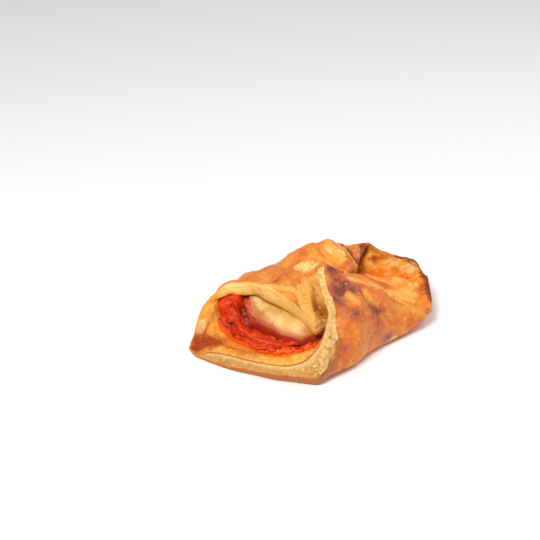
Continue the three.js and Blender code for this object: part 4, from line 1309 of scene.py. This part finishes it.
def sauce_relief(points, from_near):
    """Shreds of tomato and meat that lie along the near side, soft lumps, and the valleys. It fades away
    towards the right mouth."""
    shreds = np.stack([points[..., 0] / 7, from_near / 2.1], 2)
    across = 1.5 * noise(shreds / 1.6, 1, 61) + 0.2 * noise(shreds, 1, 62)
    valleys = -1.2 * stroked(points, SAUCE_VALLEYS)
    lumps = 1.6 * noise(points, 8, 65) + 0.35 * layered_noise(points, 5, 63)
    return (across + lumps + valleys) * step(points[..., 0], 30, 0)


def ham_relief(points, from_near):
    """A slice of ham is nearly even."""
    return 0.25 * noise(points, 5, 71)


def cheese_relief(points, from_near):
    """Melted cheese keeps low, wide bubbles."""
    return 0.45 * noise(points, 10, 72) + 0.1 * noise(points, 4, 73)


sauce_ring, sauce_thin = slab(sauce_layer, 230, 150, sauce_relief)
ham_ring, ham_thin = slab(ham_layer, 120, 60, ham_relief)
cheese_ring, cheese_thin = slab(cheese_layer, 170, 110, cheese_relief)
print("tops:", [round(float(r[..., 2].max()), 1) for r in (sauce_ring, ham_ring, cheese_ring)])

# %% [markdown]
# The colours of the fillings
#
# Tomato sauce is orange where it is thin, with painted shade in its folds and between its strands and
# painted highlights along them. Ham is pink, stained by the sauce at its edge and darkened there by painted
# shade. Melted cheese is cream, with browned places, painted shade under the far lip, and orange oil where
# it ran into the right mouth.

# %% Sauce
sauce, start = new_material("tomato_sauce")
place, mask = start.place(), start.mask
streak = place.stretched(1.6, 1, 1).noise(1.6, 3)
colour = start.mix(
    (192, 32, 2),
    ((222, 66, 10), place.noise(4, 4).step(0.35, 0.65)),
    # lighter streaks along the strands are painted highlights, darker ones between them painted shade
    ((248, 134, 56), streak.step(0.56, 0.74) * 0.55),
    ((150, 14, 0), streak.step(0.44, 0.3) * 0.7),
    # painted shade in the deep folds
    ((122, 8, 0), (mask("valley_shade") + (streak - 0.5) * 0.6).step(0.15, 0.8) * 0.9),
    ((248, 104, 30), mask("thin").step(0.15, 0.8) * 0.75))
finish_material(sauce, {
    "Base Color": colour,
    "Roughness": 0.24 + streak * 0.2,
    "Normal": start.bump(place.noise(1.5, 3, 0.5), 0.5),
    "Coat Weight": 0.08, "Coat Roughness": 0.12, "Specular IOR Level": 0.18,
    "Subsurface Weight": 0.1, "Subsurface Scale": 0.002,
})
# where the folds take painted shade
valleys = stroked(with_middles(sauce_ring), SAUCE_VALLEYS)
make_tube("tomato_sauce_spread", sauce_ring, sauce, {"thin": sauce_thin, "valley_shade": valleys},
          "tomato_sauce")

# %% Ham
ham, start = new_material("cooked_ham")
grain = start.place().stretched(1, 3, 1).noise(1.4, 4)
colour = start.mix(
    (204, 84, 46),
    ((230, 128, 84), grain.step(0.35, 0.65)),
    # darker red at the edge: stained by the sauce, and painted shade under the slice
    ((160, 28, 8), start.mask("thin").step(0.3, 0.85) * 0.85))
finish_material(ham, {
    "Base Color": colour,
    "Roughness": 0.3 + grain * 0.2,
    "Normal": start.bump(grain, 0.3),
    "Coat Weight": 0.3, "Subsurface Weight": 0.3, "Subsurface Scale": 0.004,
})
make_tube("ham_slice_cooked", ham_ring, ham, {"thin": ham_thin}, "ham_slice")

# %% Cheese
cheese, start = new_material("melted_cheese")
place, thin = start.place(), start.mask("thin")
cream = place.noise(9, 3).step(0.4, 0.6)
along_x = place.node("ShaderNodeSeparateXYZ", {0: place})
colour = start.mix(
    (234, 196, 128),
    ((222, 174, 86), cream),
    ((210, 124, 78), place.noise(6, 3).step(0.6, 0.78) * 0.6),
    ((226, 136, 92), thin.step(0.1, 0.8) * 0.7),
    # yellower and darker towards the right: painted shade under the far lip
    ((222, 176, 76), along_x.step(-30, -14) * 0.9),
    # darker pinkish brown at the left end, partly painted shade under the far lip
    ((196, 112, 62), (along_x.step(-26, -32) + place.noise(2, 4) - 0.5).step(0.1, 0.9) * 0.85),
    ((206, 118, 34), along_x.step(-27, -17) * (thin + (cream - 0.5) * 0.1).step(0.05, 0.5)),
    (bowl_colour(place), along_x.step(25, 33)))
finish_material(cheese, {
    "Base Color": colour,
    "Roughness": 0.32 + place.noise(2) * 0.2,
    "Normal": start.bump(place.noise(1.5, 4), 0.35),
    "Coat Weight": 0.1, "Subsurface Weight": 0.25, "Subsurface Scale": 0.004,
})
bowl_masks = {name: marked(with_middles(cheese_ring), spots)
              for name, spots in (("bowl_gold", BOWL_GOLD), ("bowl_red", BOWL_RED))}
make_tube("cheese_melt", cheese_ring, cheese, {"thin": cheese_thin, **bowl_masks},
          "melted_cheese")

# %% [markdown]
# Bacon
#
# A strip of bacon curls while it cooks: lean meat shrinks more than fat, so its edges wave. Streaks of fat
# run along it.

# %% Bacon
BACON_WIDTH = 7
BACON_THICKNESS = 2.4
BACON_WAVE = 1.0
BACON_STRIPS = [
    [(-33, 32, 11), (-38.5, 31, 9.6), (-42.6, 25.5, 9), (-43, 18, 8.4)],
    [(-42, 14, 7.8), (-41.5, 4, 7.8), (-37.5, -6, 8), (-31.5, -14, 8.2)],
]

bacon, start = new_material("bacon")
place = start.place()
fibre = place.noise(1.2, 4)
fat = start.math("SINE", start.mask("across") * 5 + place.noise(3) * 5).step(0.35, 0.85)
colour = start.mix((168, 18, 2), ((214, 54, 12), fibre.step(0.35, 0.65)), ((236, 112, 54), fat * 0.5))
finish_material(bacon, {
    "Base Color": colour,
    "Roughness": 0.25 + fibre * 0.2,
    "Normal": start.bump(fibre, 0.4),
    "Coat Weight": 0.04, "Coat Roughness": 0.2, "Specular IOR Level": 0.2,
    "Subsurface Weight": 0.15, "Subsurface Scale": 0.002,
})
for number, line in enumerate(BACON_STRIPS, 1):
    strip, across = ribbon(line, BACON_WIDTH, BACON_THICKNESS, BACON_WAVE, 90, 80 + number)
    make_tube(f"bacon_{number}", strip, bacon, {"across": across}, f"bacon_strip_{number}")

# %% [markdown]
# Shreds in the sauce
#
# Small cuttings of bacon and tomato lie in the sauce of the open mouth, coated with it. They follow its
# near side, as the sauce was spread along the edge of the dough. Each is a short ribbon on the sauce's
# surface. One lobe of sauce stands higher than the rest, under the far lip of the mouth.

# %% Shreds
SHREDS = 12


def shred(number):
    """A ribbon from a random place, 4 to 9 mm long, parallel to the near side of the sauce."""
    random = np.random.default_rng(300 + number)
    middle_x = random.uniform(-46, -16)
    from_near = random.uniform(1.5, 9)
    half_length = random.uniform(2.5, 5.5)
    x = middle_x + np.linspace(-1, 1, 6) * half_length * 0.8
    y = sauce_layer["near"](x) + from_near + random.uniform(-0.8, 0.8, 6)
    z = sauce_layer["height"](x, y) + random.uniform(0.1, 0.9, 6)
    width, thickness = random.uniform(2.2, 4.2), random.uniform(1.2, 1.8)
    return ribbon(np.stack([x, y, z], 1), width, thickness, 0.35, 26, 400 + number, across=7)


def lobe(place, size, sections=44, around=36):
    """A lump of sauce: an ellipsoid with its long way along x, made uneven by noise."""
    turn = np.linspace(0.03, np.pi - 0.03, sections)[:, None]
    angle = np.linspace(0, 2 * np.pi, around, endpoint=False)[None]
    out = [-np.cos(turn) + 0 * angle, -np.sin(turn) * np.cos(angle), np.sin(turn) * np.sin(angle)]
    points = np.array(place) + np.array(size) * np.stack(out, 2)
    uneven = 0.7 * noise(points, 4, 91) + 0.3 * noise(points, 2, 92)
    return points + unit(np.stack(out, 2)) * uneven[..., None], np.zeros(points.shape[:2])


shreds = [shred(number) for number in range(SHREDS)] + [lobe((-38.2, 29, 12.8), (8, 4.3, 4.9))]
shred_points, shred_across, shred_faces = join(shreds)
thin = 0.45 * np.abs(shred_across)
make_piece("shreds_in_sauce", shred_points, shred_faces, sauce, {"thin": thin})

# %% [markdown]
# Table and light
#
# A product picture is taken on a white sweep with large soft lights. The floor is a pale sheet, one large
# lamp stands at the upper left, and the pale surroundings fill the shadows.

# %% Table and light
floor_mesh = bpy.data.meshes.new("floor")
floor_mesh.from_pydata([(-2, -2, 0), (2, -2, 0), (2, 2, 0), (-2, 2, 0)], [], [(0, 1, 2, 3)])
floor = bpy.data.objects.new("floor", floor_mesh)
bpy.context.collection.objects.link(floor)
white, start = new_material("white_table")
finish_material(white, {"Base Color": srgb(250, 250, 250), "Roughness": 0.6})
floor_mesh.materials.append(white)


def area_light(name, place, size, power):
    """A square lamp that looks at the middle of the basket."""
    data = bpy.data.lights.new(name, "AREA")
    data.size, data.energy = size, power
    lamp = bpy.data.objects.new(name, data)
    lamp.location = place
    aim = np.array([0, 0, 0.015]) - np.array(place)
    flat = math.hypot(aim[0], aim[1])
    lamp.rotation_euler = (math.atan2(flat, -aim[2]), 0, math.atan2(-aim[0], aim[1]))
    bpy.context.collection.objects.link(lamp)


area_light("key", (-0.45, -0.25, 0.75), 0.35, 6.2)
area_light("fill", (0.5, -0.1, 0.6), 0.4, 1.3)
world = bpy.data.worlds.new("studio")
world.use_nodes = True
feed(world.node_tree.nodes["Background"], {"Color": (1, 1, 1, 1), "Strength": 0.5})
bpy.context.scene.world = world
bpy.context.scene.view_settings.view_transform = "Standard"
